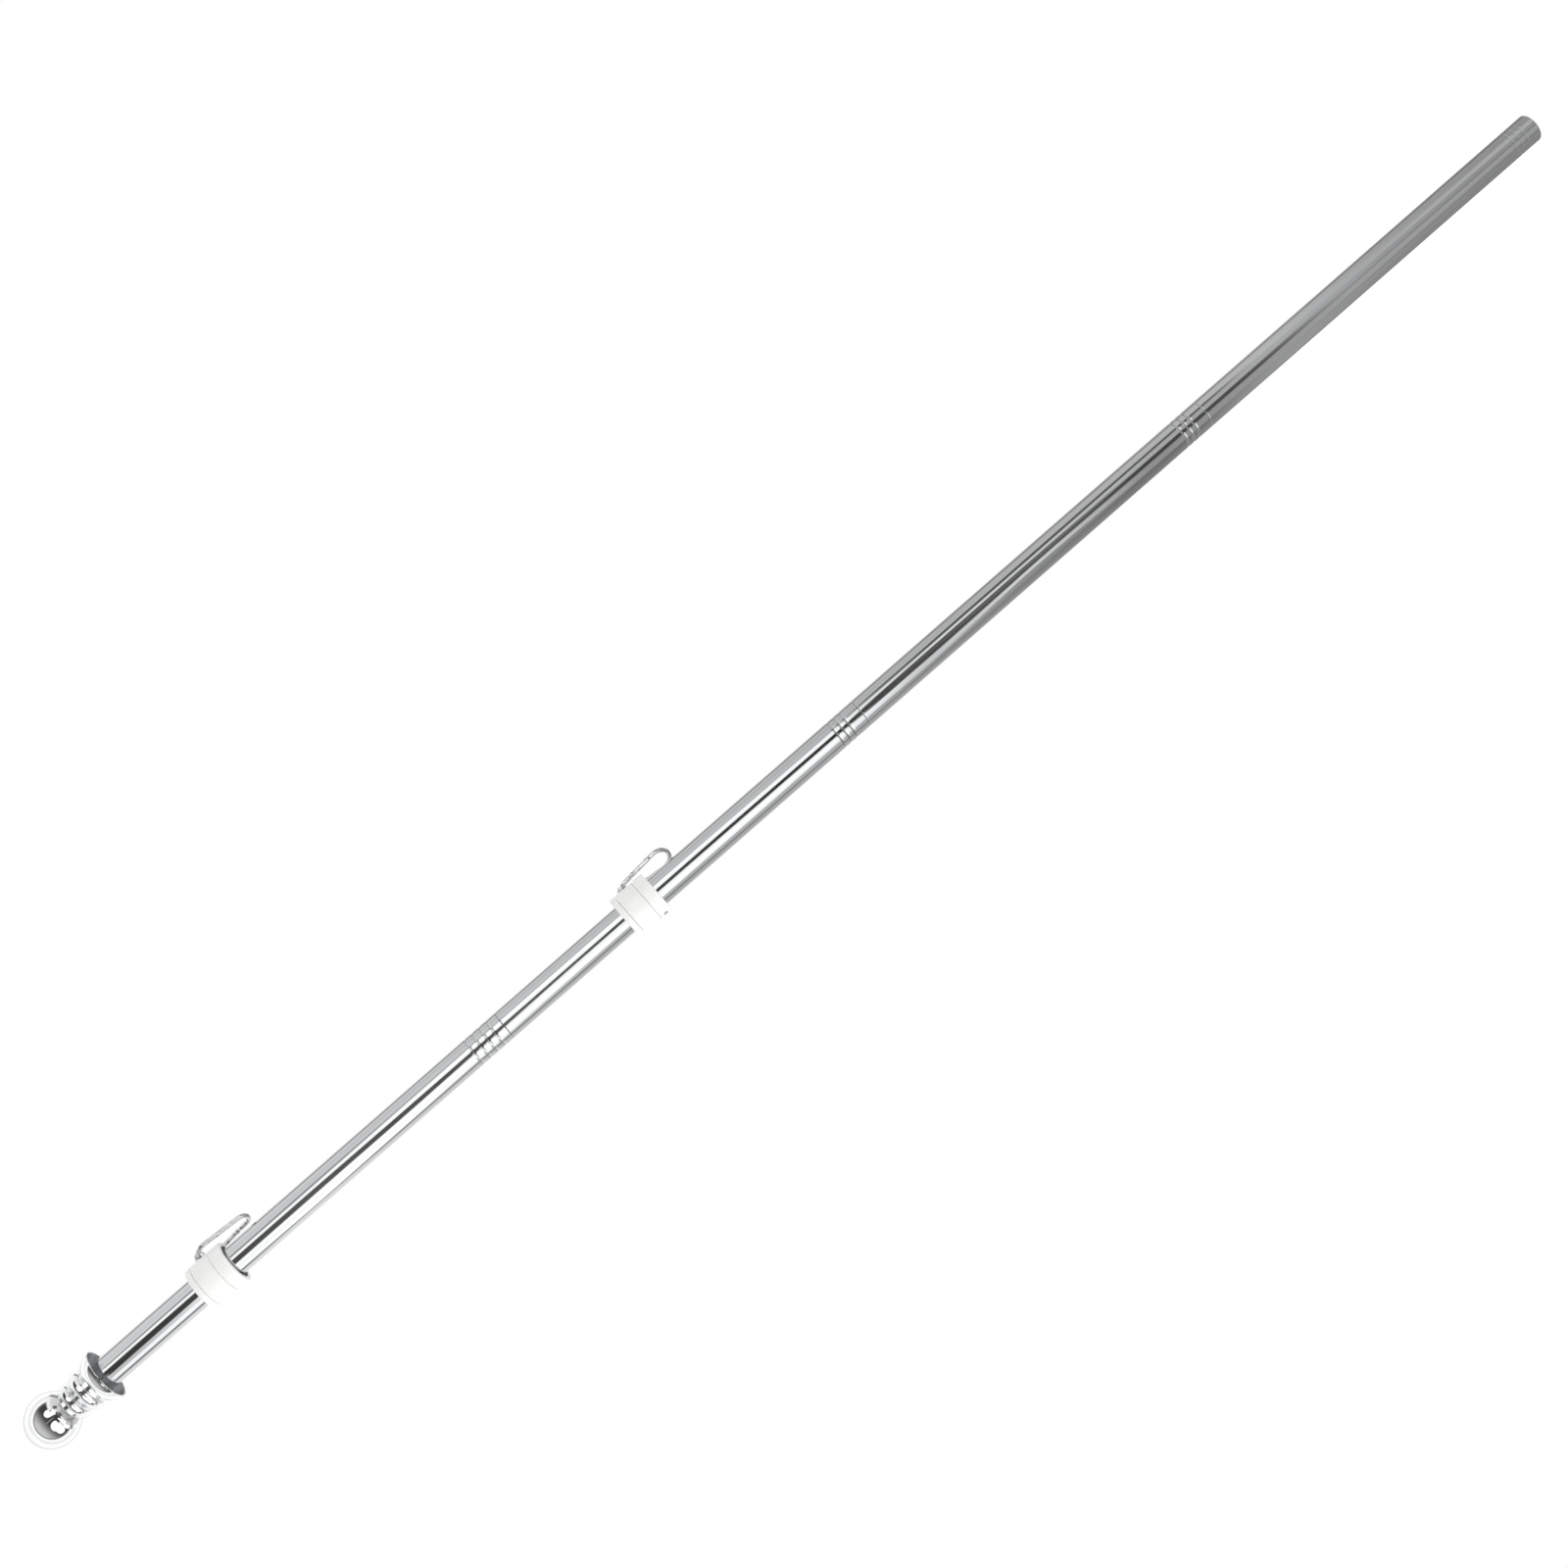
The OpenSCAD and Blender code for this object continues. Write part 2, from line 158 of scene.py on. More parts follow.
# wall brightness at each side of the camera, by height
sideShades = {
    "left": [(-1.75, 0.33), (-0.60, 0.36), (-0.39, 0.40), (-0.20, 0.50), (0.07, 0.28), (0.24, 0.37),
             (0.45, 0.48), (0.65, 0.64), (0.87, 0.62), (1.12, 0.70), (1.37, 0.88), (1.62, 0.95)],
    "right": [(-1.75, 0.40), (-0.60, 0.45), (-0.39, 0.53), (-0.20, 0.69), (0.45, 0.70), (0.82, 0.77),
              (1.12, 0.81), (1.37, 0.88), (1.62, 0.96)]}

# panels over it: softness of the sides, fade, foot and head, then stops of (height, left side, right side,
# brightness), with the sides in degrees from the camera
panels = {
    "backLeft": (12, 0.4, -1.2, 9, [
        (-0.60, -220, -144, 0.20), (-0.20, -220, -142, 0.28), (0.07, -220, -140, 0.44),
        (0.65, -220, -130, 0.60), (1.11, -220, -114, 0.76), (1.56, -220, -102, 1.10),
        (1.87, -220, -102, 1.06)]),
    "backRight": (8, 0.4, -0.9, 9, [
        (-0.63, 134, 220, 0.36), (-0.13, 134, 220, 0.62), (0.45, 134, 220, 0.52), (0.65, 134, 220, 0.82),
        (1.37, 134, 220, 1.05)]),
    "cornerRight": (5, 0.4, -0.9, 2.2, [
        (-0.63, 117, 132, 0.24), (0.07, 117, 132, 0.28), (0.65, 117, 132, 0.30), (1.37, 117, 132, 0.33)]),
    "screenLeft": (6, 0.16, -0.06, 2.2, [
        (0.07, -104, -60, 0.25), (0.31, -104, -64, 0.34), (0.56, -100, -84, 0.40), (1.12, -99, -87, 0.34),
        (1.45, -99, -87, 0.36), (1.56, -99, -87, 0.70), (1.68, -99, -85, 0.30), (1.87, -99, -84, 0.26)]),
    "room": (8, 0.14, 2.00, 9, [
        (1.98, -84, 84, 0.10), (2.25, -84, 84, 0.22), (2.80, -84, 84, 0.45)]),
    "lampLeft": (6, 0.16, 0.47, 1.98, [
        (0.45, -58, -24, 1.00), (0.65, -54, -9, 1.55), (1.11, -62, -7, 1.65), (1.37, -76, -19, 1.65),
        (1.56, -88, -19, 1.65), (1.66, -78, -21, 1.60), (1.87, -74, -26, 1.55)]),
    "shadeLeft": (6, 0.1, 1.74, 2.0, [
        (1.74, -46, -28, 1.00), (1.87, -52, -18, 0.82)]),
    "glowLeft": (5, 0.12, -1.1, 0.50, [
        (-0.60, -46, -14, 0.50), (-0.30, -50, -16, 0.54), (0.07, -58, -18, 0.40), (0.28, -30, -13, 1.12),
        (0.45, -60, -26, 0.90)]),
    "lampRight": (5, 0.16, 0.50, 1.97, [
        (0.50, 23, 41, 1.00), (0.65, 13, 40, 1.60), (0.87, 18, 46, 1.65), (1.12, 14, 46, 1.65),
        (1.37, 13, 38, 1.65), (1.56, 17, 34, 1.60), (1.87, 17, 32, 1.55)]),
    "glowRight": (5, 0.12, -1.1, 0.52, [
        (-0.60, 24, 50, 0.68), (-0.20, 30, 54, 0.66), (0.0, 15, 41, 0.58), (0.24, 24, 40, 0.85),
        (0.45, 25, 40, 1.10)]),
    "darkRight": (5, 0.06, -0.10, 0.595, [
        (0.0, 43, 62, 0.14), (0.24, 41, 62, 0.12), (0.45, 41, 60, 0.13), (0.58, 42, 62, 0.24)]),
    "lineRight": (4, 0.12, 1.30, 2.06, [
        (1.37, 42, 52, 0.60), (1.56, 38, 52, 0.36), (1.75, 37, 48, 0.40), (1.87, 35, 42, 0.36)]),
    "gap": (6, 0.2, -0.23, 2.2, [
        (-0.20, -15, 15, 0.12), (0.07, -14, 12, 0.06), (0.24, -9, 22, 0.12), (0.45, -22, 22, 0.09),
        (0.585, -23, 22, 0.08), (0.605, -11, 13, 0.04), (0.68, -11, 14, 0.04), (0.87, -8, 17, 0.04),
        (1.11, -6, 13, 0.14), (1.37, -19, 12, 0.10), (1.56, -18, 17, 0.14), (1.81, -23, 17, 0.06),
        (1.94, -27, 15, 0.05)]),
    "slit": (3, 0.12, 0.1, 0.5, [
        (0.24, 7, 11, 0.45), (0.45, 4, 8, 0.26)]),
}

# flags close round the finial: small lamps in a dark room, each (turn, rise, half width, half height)
flags = {
    "radius": 0.08, "low": 1.5535, "high": 2.2, "columns": 360, "rows": 200, "roomEdge": 75.0,
    "edgeSoft": 3.0, "rim": 0.24, "rimWide": 10.0, "rimSoft": 8.0, "dark": 0.05, "pale": 0.62,
    "paleFrom": -4.0, "paleTo": 42.0, "skirt": 1.571, "skirtSoft": 0.010, "skirtAs": 1.9,
    "skirtSpread": 1.08,
    "rings": [(75, 1.08), (84, 1.10), (90, 0.92), (100, 0.92), (107, 1.10), (130, 1.10), (142, 0.80),
              (180, 0.76)],
    "lamps": [(30, -18, 14, 14), (-25, -13, 19, 18), (-46, -11, 16, 12)], "lampLevel": 1.7,
    "lampSoft": 0.25, "slit": (5.5, 1.4, 0.34), "slitSoft": 2.0, "slitTop": 8.0, "slitFade": 6.0}


def ease(v):
    v = min(max(v, 0.0), 1.0)
    return v * v * (3 - 2 * v)


def step(distance, soft):
    return ease(distance / soft + 0.5)


def between(stops, h):
    if h <= stops[0][0]:
        return stops[0][1:]
    for low, high in zip(stops, stops[1:]):
        if h <= high[0]:
            k = (h - low[0]) / (high[0] - low[0])
            return tuple(a + (b - a) * k for a, b in zip(low[1:], high[1:]))
    return stops[-1][1:]


def towardRoom(angle, h, radius):
    # how far a spot on a wall lies in the direction of the room, and its rise, as the ball sees them
    tilt = math.radians(studio["roomTilt"])
    rise = math.atan2(h - studio["roomFrom"], radius)
    level = math.cos(rise) * math.cos(math.radians(angle))
    return level * math.cos(tilt) + math.sin(rise) * math.sin(tilt), math.degrees(rise)


def roomLevel(angle, h):
    # what the world shows in the same direction
    low, high = studio["roomEdge"]
    k = ease((towardRoom(angle, h, wall["radius"])[0] - low) / (high - low))
    return studio["roomWhite"] + (studio["roomDim"] - studio["roomWhite"]) * k


def wallLevel(angle, h):
    k = step(angle, wall["sideBlend"])
    v = between(sideShades["left"], h)[0] * (1 - k) + between(sideShades["right"], h)[0] * k
    for soft, fade, foot, head, stops in panels.values():
        left, right, level = between(stops, h)
        m = step(angle - left, soft) * step(right - angle, soft)
        m *= step(h - foot, fade) * step(head - h, fade)
        v += (level - v) * m
    return v + (roomLevel(angle, h) - v) * ease((h - wall["roomFoot"]) / wall["roomRise"])


def flagLevel(angle, h):
    f = flags
    toward, rise = towardRoom(angle, h, f["radius"])
    off = math.degrees(math.acos(min(max(toward, -1), 1)))
    room = f["dark"] + (f["pale"] - f["dark"]) * ease((rise - f["paleFrom"]) / (f["paleTo"] - f["paleFrom"]))
    room += (f["rim"] - room) * ease((off - f["roomEdge"] + f["rimWide"]) / f["rimSoft"])
    inside = step(f["roomEdge"] - off, f["edgeSoft"])
    v = between(f["rings"], off)[0] * (1 - inside) + room * inside
    turn, half, level = f["slit"]
    m = step(half - abs(angle - turn), f["slitSoft"]) * step(f["slitTop"] - rise, f["slitFade"])
    v += (level - v) * m
    for turn, lift, wide, tall in f["lamps"]:
        reach = math.hypot((angle - turn) / wide, (rise - lift) / tall)
        v += (f["lampLevel"] - v) * step(1 - reach, f["lampSoft"])
    skirt = wallLevel(angle * f["skirtSpread"], f["skirtAs"])
    return v + (skirt - v) * step(f["skirt"] - h, f["skirtSoft"])


def stageFinish(name):
    mat = bpy.data.materials.new(name)
    mat.use_nodes = True
    mat.node_tree.nodes.clear()
    mat.cycles.emission_sampling = "NONE"
    return mat, mat.node_tree


def addWall(name, size, level):
    angles = [-180 + 360 * i / size["columns"] for i in range(size["columns"])]
    spokes = [aroundPole(angle) * size["radius"] for angle in angles]
    verts, shades = [], []
    for j in range(size["rows"] + 1):
        h = size["low"] + (size["high"] - size["low"]) * j / size["rows"]
        verts += [spoke + Vector((0, 0, h)) for spoke in spokes]
        shades += [level(angle, h) for angle in angles]
    mesh = bpy.data.meshes.new(name)
    mesh.from_pydata(verts, [], loopFaces(size["rows"] + 1, size["columns"]))
    mesh.attributes.new("shade", "FLOAT", "POINT").data.foreach_set("value", shades)
    mat, t = stageFinish(name)
    shade = put(t, "ShaderNodeAttribute", attribute_name="shade")
    glow = give(t, "ShaderNodeEmission", {"Strength": shade.outputs["Fac"]})
    put(t, "ShaderNodeOutputMaterial", {"Surface": glow})
    mesh.materials.append(mat)
    obj = newObject(name, mesh)
    for ray in ("camera", "diffuse", "shadow", "transmission"):
        setattr(obj, "visible_" + ray, False)


def addFloor():
    radius = studio["floorRadius"]
    bpy.ops.mesh.primitive_circle_add(vertices=studio["floorSides"], radius=radius, fill_type="NGON",
                                      location=(0, 0, -studio["floorDrop"]))
    floor = bpy.context.object
    floor.name = "studioFloor"
    mat, t = stageFinish("studioFloor")
    path = put(t, "ShaderNodeLightPath").outputs
    seen = maths(t, "MAXIMUM", path["Is Camera Ray"], path["Is Glossy Ray"])
    seen = maths(t, "MAXIMUM", seen, path["Is Transmission Ray"])
    grey = mixColour(t, seen, studio["floorPaint"], studio["floorSeen"])
    paint = give(t, "ShaderNodeBsdfDiffuse", {"Color": grey})
    glow = give(t, "ShaderNodeEmission", {"Strength": maths(t, "MULTIPLY", seen, studio["floorGlow"])})
    both = give(t, "ShaderNodeAddShader", {0: paint, 1: glow})
    reach = vectors(t, "LENGTH", put(t, "ShaderNodeTexCoord").outputs["Object"])
    start, stop = studio["floorFade"]
    fade = remap(t, reach, radius * start, radius * stop, 0, 1, True)
    clear = maths(t, "MAXIMUM", fade, put(t, "ShaderNodeNewGeometry").outputs["Backfacing"])
    blend = give(t, "ShaderNodeMixShader", {0: clear, 1: both, 2: give(t, "ShaderNodeBsdfTransparent")})
    put(t, "ShaderNodeOutputMaterial", {"Surface": blend})
    floor.data.materials.append(mat)
    floor.visible_glossy = False


def addLight():
    spot = aroundPole(studio["lampTurn"]) * studio["lampDistance"]
    spot.z = studio["lampHeight"]
    data = bpy.data.lights.new("softLamp", "AREA")
    data.energy = studio["lampPower"]
    data.shape = "RECTANGLE"
    data.size, data.size_y = studio["lampSize"]
    lamp = newObject("softLamp", data)
    aim = Vector((0, 0, studio["lampAim"])) - spot
    lamp.matrix_world = Matrix.Translation(spot) @ aim.to_track_quat("-Z", "Y").to_matrix().to_4x4()
    lamp.visible_glossy = False
    lamp.visible_camera = False


def addWorld():
    world = bpy.data.worlds.new("studioWorld")
    scene.world = world
    world.use_nodes = True
    t = world.node_tree
    t.nodes.clear()
    path = put(t, "ShaderNodeLightPath").outputs
    tilt = math.radians(studio["roomTilt"])
    facing = aroundPole() * math.cos(tilt) + Vector((0, 0, math.sin(tilt)))
    toward = vectors(t, "DOT_PRODUCT", put(t, "ShaderNodeTexCoord").outputs["Generated"], tuple(facing))
    room = remap(t, toward, *studio["roomEdge"], studio["roomWhite"], studio["roomDim"], True)
    shiny = maths(t, "MAXIMUM", path["Is Glossy Ray"], path["Is Transmission Ray"])
    soft, mirror, paper = [give(t, "ShaderNodeBackground", {"Color": (1, 1, 1, 1), "Strength": level})
                           for level in (studio["fillLight"], room, 1.0)]
    first = give(t, "ShaderNodeMixShader", {0: shiny, 1: soft, 2: mirror})
    last = give(t, "ShaderNodeMixShader", {0: path["Is Camera Ray"], 1: first, 2: paper})
    put(t, "ShaderNodeOutputWorld", {"Surface": last})


addWall("studioWall", wall, wallLevel)
addWall("finialFlags", flags, flagLevel)
addFloor()
addLight()
addWorld()
print("studio ready")


# finishes: each grain is (stretch, detail, roughness, seed); tone, wear and height mix two grains, with the
# first one's share, and the range of the mix that counts
def grain(t, where, stretch, detail, rough, seed):
    shift = (seed, seed * 0.7, seed * 1.3)
    place = give(t, "ShaderNodeMapping", {"Vector": where, "Scale": stretch, "Location": shift})
    noise = {"Vector": place, "Scale": 1.0, "Detail": detail, "Roughness": rough}
    return put(t, "ShaderNodeTexNoise", noise).outputs["Fac"]


def turning(t, where, pitch, distortion, detail):
    # lines left by a lathe; the wave repeats 3.18 times in a unit
    wave = {"Vector": where, "Scale": 0.314 / (pitch * mm), "Distortion": distortion, "Detail": detail}
    return put(t, "ShaderNodeTexWave", wave, wave_type="BANDS", bands_direction="Z").outputs["Fac"]


def reachFromPole(t, where):
    return vectors(t, "LENGTH", vectors(t, "MULTIPLY", where, (1, 1, 0)))


def newFinish(name, look, marksOn=None):
    mat = bpy.data.materials.new(name)
    mat.use_nodes = True
    t = mat.node_tree
    shader = next(n for n in t.nodes if n.type == "BSDF_PRINCIPLED")
    for key, value in look["body"].items():
        shader.inputs[key].default_value = value
    where = put(t, "ShaderNodeTexCoord").outputs["Object"]
    grains = {}
    for label, spec in look["grains"].items():
        make = turning if label == "turning" else grain
        grains[label] = make(t, where, *spec)
    mixes = {}
    for label in ("tone", "wear", "height"):
        first, second, share = look[label][:3]
        mixes[label] = weigh(t, grains[first], grains[second], share)
    colour = mixColour(t, remap(t, mixes["tone"], *look["tone"][3:], 0.0, 1.0), look["dark"], look["light"])
    rough = remap(t, mixes["wear"], *look["wear"][3:], *look["roughness"])
    for mask, shade, share, extraRough in marksOn(t, where, grains) if marksOn else []:
        colour = mixColour(t, maths(t, "MULTIPLY", mask, share), colour, shade)
        rough = maths(t, "ADD", rough, maths(t, "MULTIPLY", mask, extraRough), clamp=True)
    strength, distance = look["bump"]
    bump = give(t, "ShaderNodeBump", {"Height": mixes["height"], "Strength": strength, "Distance": distance})
    for label, value in (("Base Color", colour), ("Roughness", rough), ("Normal", bump)):
        feed(t, shader.inputs[label], value)
    return mat


steelLook = {
    "body": {"Metallic": 1.0}, "light": (0.72, 0.725, 0.73), "dark": (0.53, 0.535, 0.545),
    "roughness": (0.07, 0.15), "bump": (0.10, 0.00015),
    "grains": {"streak": ((640, 640, 1.6), 5, 0.66, 3.1), "hair": ((2400, 2400, 16), 2, 0.5, 8.4),
               "smear": ((26, 26, 9), 3, 0.55, 1.7)},
    "tone": ("streak", "streak", 1.0, 0.35, 0.68), "wear": ("streak", "smear", 0.6, 0.35, 0.65),
    "height": ("streak", "hair", 0.7), "skin": 12.7, "grooveDepth": 0.34, "grooveRim": 0.25,
    # groove is the colour of painted shade in the groove bottoms
    "groove": (0.40, 0.405, 0.415), "grooveShadeShare": 0.25, "grooveRough": 0.10}


def steelMarks(t, where, grains):
    # painted shade in the groove bottoms, where the steel is also rougher
    look = steelLook
    skin, deep = look["skin"] * mm, look["grooveDepth"] * mm
    grooveShade = remap(t, reachFromPole(t, where), skin - deep, skin - deep * look["grooveRim"], 1.0, 0.0, True)
    return [(grooveShade, look["groove"], look["grooveShadeShare"], look["grooveRough"])]


chromeLook = {
    "body": {"Metallic": 1.0}, "light": (0.93, 0.935, 0.94), "dark": (0.86, 0.865, 0.875),
    "roughness": (0.035, 0.09), "bump": (0.035, 0.0001),
    "grains": {"cloud": ((70, 70, 70), 4, 0.6, 2.3), "polish": ((900, 900, 130), 3, 0.5, 5.9),
               "fleck": ((1500, 1500, 1500), 1, 0.5, 9.2)},
    "tone": ("cloud", "cloud", 1.0, 0.36, 0.64), "wear": ("cloud", "polish", 0.55, 0.38, 0.66),
    "height": ("polish", "fleck", 0.6), "domeZ": 1547.9, "domeIn": (21.7, 22.2),
    # inside is the colour of painted shade inside the dome
    "inside": (0.40, 0.405, 0.415), "insideRough": 0.30}


def chromeMarks(t, where, grains):
    # painted shade on the inside of the dome, where the metal is also rougher
    look = chromeLook
    reach = vectors(t, "LENGTH", vectors(t, "SUBTRACT", where, (0, 0, look["domeZ"] * mm)))
    near, far = look["domeIn"]
    inside = remap(t, reach, near * mm, far * mm, 1.0, 0.0, True)
    return [(inside, look["inside"], 1.0, look["insideRough"])]


plasticLook = {
    "body": {"Subsurface Weight": 0.06, "Subsurface Radius": (0.004, 0.004, 0.0036), "Subsurface Scale": 0.4,
             "IOR": 1.53},
    "light": (0.93, 0.93, 0.92), "dark": (0.885, 0.885, 0.872),
    "roughness": (0.34, 0.48), "bump": (0.06, 0.00012),
    "grains": {"cloud": ((55, 55, 55), 4, 0.6, 4.4), "grit": ((2600, 2600, 2600), 2, 0.5, 7.7),
               "scuff": ((160, 160, 900), 3, 0.7, 6.1)},
    "tone": ("cloud", "cloud", 1.0, 0.30, 0.62), "wear": ("cloud", "scuff", 0.6, 0.34, 0.66),
    "height": ("grit", "cloud", 0.7), "scuffed": (0.80, 0.80, 0.785), "scuffFrom": (0.62, 0.74),
    # mouth is the colour of painted shade in the collars' mouths
    "scuffMost": 0.35, "mouth": (0.38, 0.38, 0.375), "mouthReach": (15.46, 15.60), "mouthMid": 2.0,
    "mouthHalf": 3.0, "mouths": [(982.0, -2.0), (1422.0, -116.0)], "held": (0.62, 0.86)}


def plasticMarks(t, where, grains):
    # scuffs, and painted shade in the mouth of each collar, left off on the side away from its clamp screw
    look = plasticLook
    scuffs = remap(t, grains["scuff"], *look["scuffFrom"], 0.0, look["scuffMost"], True)
    near, far = look["mouthReach"]
    reach = reachFromPole(t, where)
    height = put(t, "ShaderNodeSeparateXYZ", {0: where}).outputs["Z"]
    mouthShade = 0.0
    for foot, clamp in look["mouths"]:
        a = math.radians(clamp)
        held = vectors(t, "DOT_PRODUCT", where, (math.cos(a), math.sin(a), 0))
        shadedSide = remap(t, maths(t, "DIVIDE", held, reach), *look["held"], 1.0, 0.0, True)
        level = maths(t, "COMPARE", height, (foot + look["mouthMid"]) * mm, look["mouthHalf"] * mm)
        mouthShade = maths(t, "MAXIMUM", maths(t, "MULTIPLY", shadedSide, level), mouthShade)
    mouthShade = maths(t, "MULTIPLY", remap(t, reach, near * mm, far * mm, 1.0, 0.0, True), mouthShade)
    return [(scuffs, look["scuffed"], 1.0, 0.0), (mouthShade, look["mouth"], 1.0, 0.0)]


zincLook = {
    "body": {"Metallic": 1.0}, "light": (0.80, 0.805, 0.815), "dark": (0.58, 0.585, 0.60),
    "roughness": (0.05, 0.13), "bump": (0.03, 0.0001),
    "grains": {"bloom": ((260, 260, 260), 4, 0.62, 1.2), "scratch": ((2200, 2200, 260), 2, 0.5, 3.6)},
    "tone": ("bloom", "bloom", 1.0, 0.34, 0.64), "wear": ("bloom", "scratch", 0.55, 0.36, 0.66),
    # screw is a near black colour, painted shade for the screw holes
    "height": ("bloom", "scratch", 0.55), "screw": (0.075, 0.075, 0.08), "screwReach": 18.3}


def zincMarks(t, where, grains):
    # the grub screws, nearer the pole than any hook, are painted near black as painted shade in their holes
    screwShade = maths(t, "LESS_THAN", reachFromPole(t, where), zincLook["screwReach"] * mm)
    return [(screwShade, zincLook["screw"], 1.0, 0.0)]


alloyLook = {
    "body": {"Metallic": 1.0}, "light": (0.74, 0.745, 0.755), "dark": (0.60, 0.605, 0.615),
    "roughness": (0.26, 0.42), "bump": (0.12, 0.0001),
    "grains": {"turning": (0.35, 0.6, 2.0), "cloud": ((180, 180, 180), 3, 0.5, 2.8)},
    "tone": ("turning", "cloud", 0.4, 0.0, 1.0), "wear": ("turning", "cloud", 0.4, 0.2, 0.8),
    "height": ("turning", "turning", 1.0)}

finishes = {
    "tube_steel": newFinish("tubeSteel", steelLook, steelMarks),
    "finial_chrome": newFinish("finialChrome", chromeLook, chromeMarks),
    "ring_plastic": newFinish("ringPlastic", plasticLook, plasticMarks),
    "hook_zinc": newFinish("hookZinc", zincLook, zincMarks),
    "insert_alloy": newFinish("insertAlloy", alloyLook)}
print("finishes made:", ", ".join(finishes))


# trees that make the turned and bent pieces and the thread
weld = 0.000002


def newTree(name, kinds):
    tree = bpy.data.node_groups.new(name, "GeometryNodeTree")
    spots = {}
    for label, kind in kinds.items():
        made = tree.interface.new_socket(label, in_out="INPUT", socket_type="NodeSocket" + kind)
        spots[label] = made.identifier
    tree.interface.new_socket("Piece", in_out="OUTPUT", socket_type="NodeSocketGeometry")
    return tree, spots, put(tree, "NodeGroupInput").outputs


def endTree(tree, geometry, finish):
    merged = give(tree, "GeometryNodeMergeByDistance", {"Geometry": geometry, "Distance": weld})
    real = give(tree, "GeometryNodeRealizeInstances", {0: merged})
    painted = give(tree, "GeometryNodeSetMaterial", {"Geometry": real, "Material": finish})
    put(tree, "NodeGroupOutput", {0: painted})


def sweptTree(name, path, count, radius, wire):
    # a profile carried round a circle, or a round wire along a path
    kinds = {path: "Geometry", count: "Int", radius: "Float", "Finish": "Material"}
    tree, spots, given = newTree(name, kinds)
    line = give(tree, "GeometryNodeMeshToCurve", {"Mesh": given[path]})
    sizes = {"Resolution": given[count], "Radius": given[radius]}
    circle = give(tree, "GeometryNodeCurvePrimitiveCircle", sizes)
    values = {"Curve": circle, "Profile Curve": line}
    if wire:
        taper = put(tree, "GeometryNodeInputNamedAttribute", {"Name": "taper"}, data_type="FLOAT")
        taper = taper.outputs["Attribute"]
        values = {"Curve": line, "Profile Curve": circle, "Scale": taper, "Fill Caps": True}
    endTree(tree, give(tree, "GeometryNodeCurveToMesh", values), given["Finish"])
    return tree, spots


def threadTree():
    tree, spots, given = newTree("cutThread", {
        "Steps": "Int", "Turns": "Float", "Bore radius": "Float", "Run": "Float", "Root width": "Float",
        "Crest width": "Float", "Depth": "Float", "Crest shift": "Vector", "Finish": "Material"})
    spiral = give(tree, "GeometryNodeCurveSpiral", {
        "Resolution": given["Steps"], "Rotations": given["Turns"], "Start Radius": given["Bore radius"],
        "End Radius": given["Bore radius"], "Height": given["Run"]})
    upright = give(tree, "GeometryNodeSetCurveNormal", {"Curve": spiral}, mode="Z_UP")
    tooth = give(tree, "GeometryNodeCurvePrimitiveQuadrilateral", {
        "Bottom Width": given["Root width"], "Top Width": given["Crest width"], "Height": given["Depth"],
        "Offset": 0.0}, mode="TRAPEZOID")
    inward = give(tree, "GeometryNodeTransform", {
        "Geometry": tooth, "Translation": given["Crest shift"], "Rotation": (0, 0, -math.pi / 2)})
    # the thread runs out at both ends
    runOut, thin = 0.02, 0.05
    along = put(tree, "GeometryNodeSplineParameter").outputs["Factor"]
    size = remap(tree, maths(tree, "PINGPONG", along, 0.5), 0.0, runOut, thin, 1.0)
    sweep = give(tree, "GeometryNodeCurveToMesh", {
        "Curve": upright, "Profile Curve": inward, "Scale": size, "Fill Caps": True})
    endTree(tree, sweep, given["Finish"])
    return tree, spots


turnedGroup, turnedSpots = sweptTree("turnedPiece", "Profile", "Segments", "Spindle", False)
wireGroup, wireSpots = sweptTree("bentWire", "Path", "Sides", "Wire radius", True)
threadGroup, threadSpots = threadTree()


def plainMesh(name, mesh, group, spots, values):
    holder = newObject(name + "Holder", mesh)
    mod = holder.modifiers.new("tree", "NODES")
    mod.node_group = group
    for label, value in values.items():
        mod[spots[label]] = value
    deps = bpy.context.evaluated_depsgraph_get()
    made = bpy.data.meshes.new_from_object(holder.evaluated_get(deps))
    holder.modifiers.clear()
    bpy.data.objects.remove(holder)
    bpy.data.meshes.remove(mesh)
    made.name = name
    return made


def tidyMesh(mesh, sharp=38.0, outward=True):
    b = bmesh.new()
    b.from_mesh(mesh)
    bmesh.ops.remove_doubles(b, verts=b.verts, dist=weld)
    bmesh.ops.dissolve_degenerate(b, edges=b.edges, dist=weld / 4)
    if outward:
        bmesh.ops.recalc_face_normals(b, faces=b.faces)
    b.to_mesh(mesh)
    b.free()
    mesh.shade_smooth()
    mesh.set_sharp_from_angle(angle=math.radians(sharp))
    return mesh


def turned(name, profile, slot, segments, closed=True, spindle=10.0):
    mesh = bpy.data.meshes.new(name)
    verts = [((r - spindle) * mm, -z * mm, 0) for r, z in profile]
    edges = [(i, i + 1) for i in range(len(verts) - 1)]
    if closed:
        edges.append((len(verts) - 1, 0))
    mesh.from_pydata(verts, edges, [])
    values = {"Segments": segments, "Spindle": spindle * mm, "Finish": finishes[slot]}
    return tidyMesh(plainMesh(name, mesh, turnedGroup, turnedSpots, values))


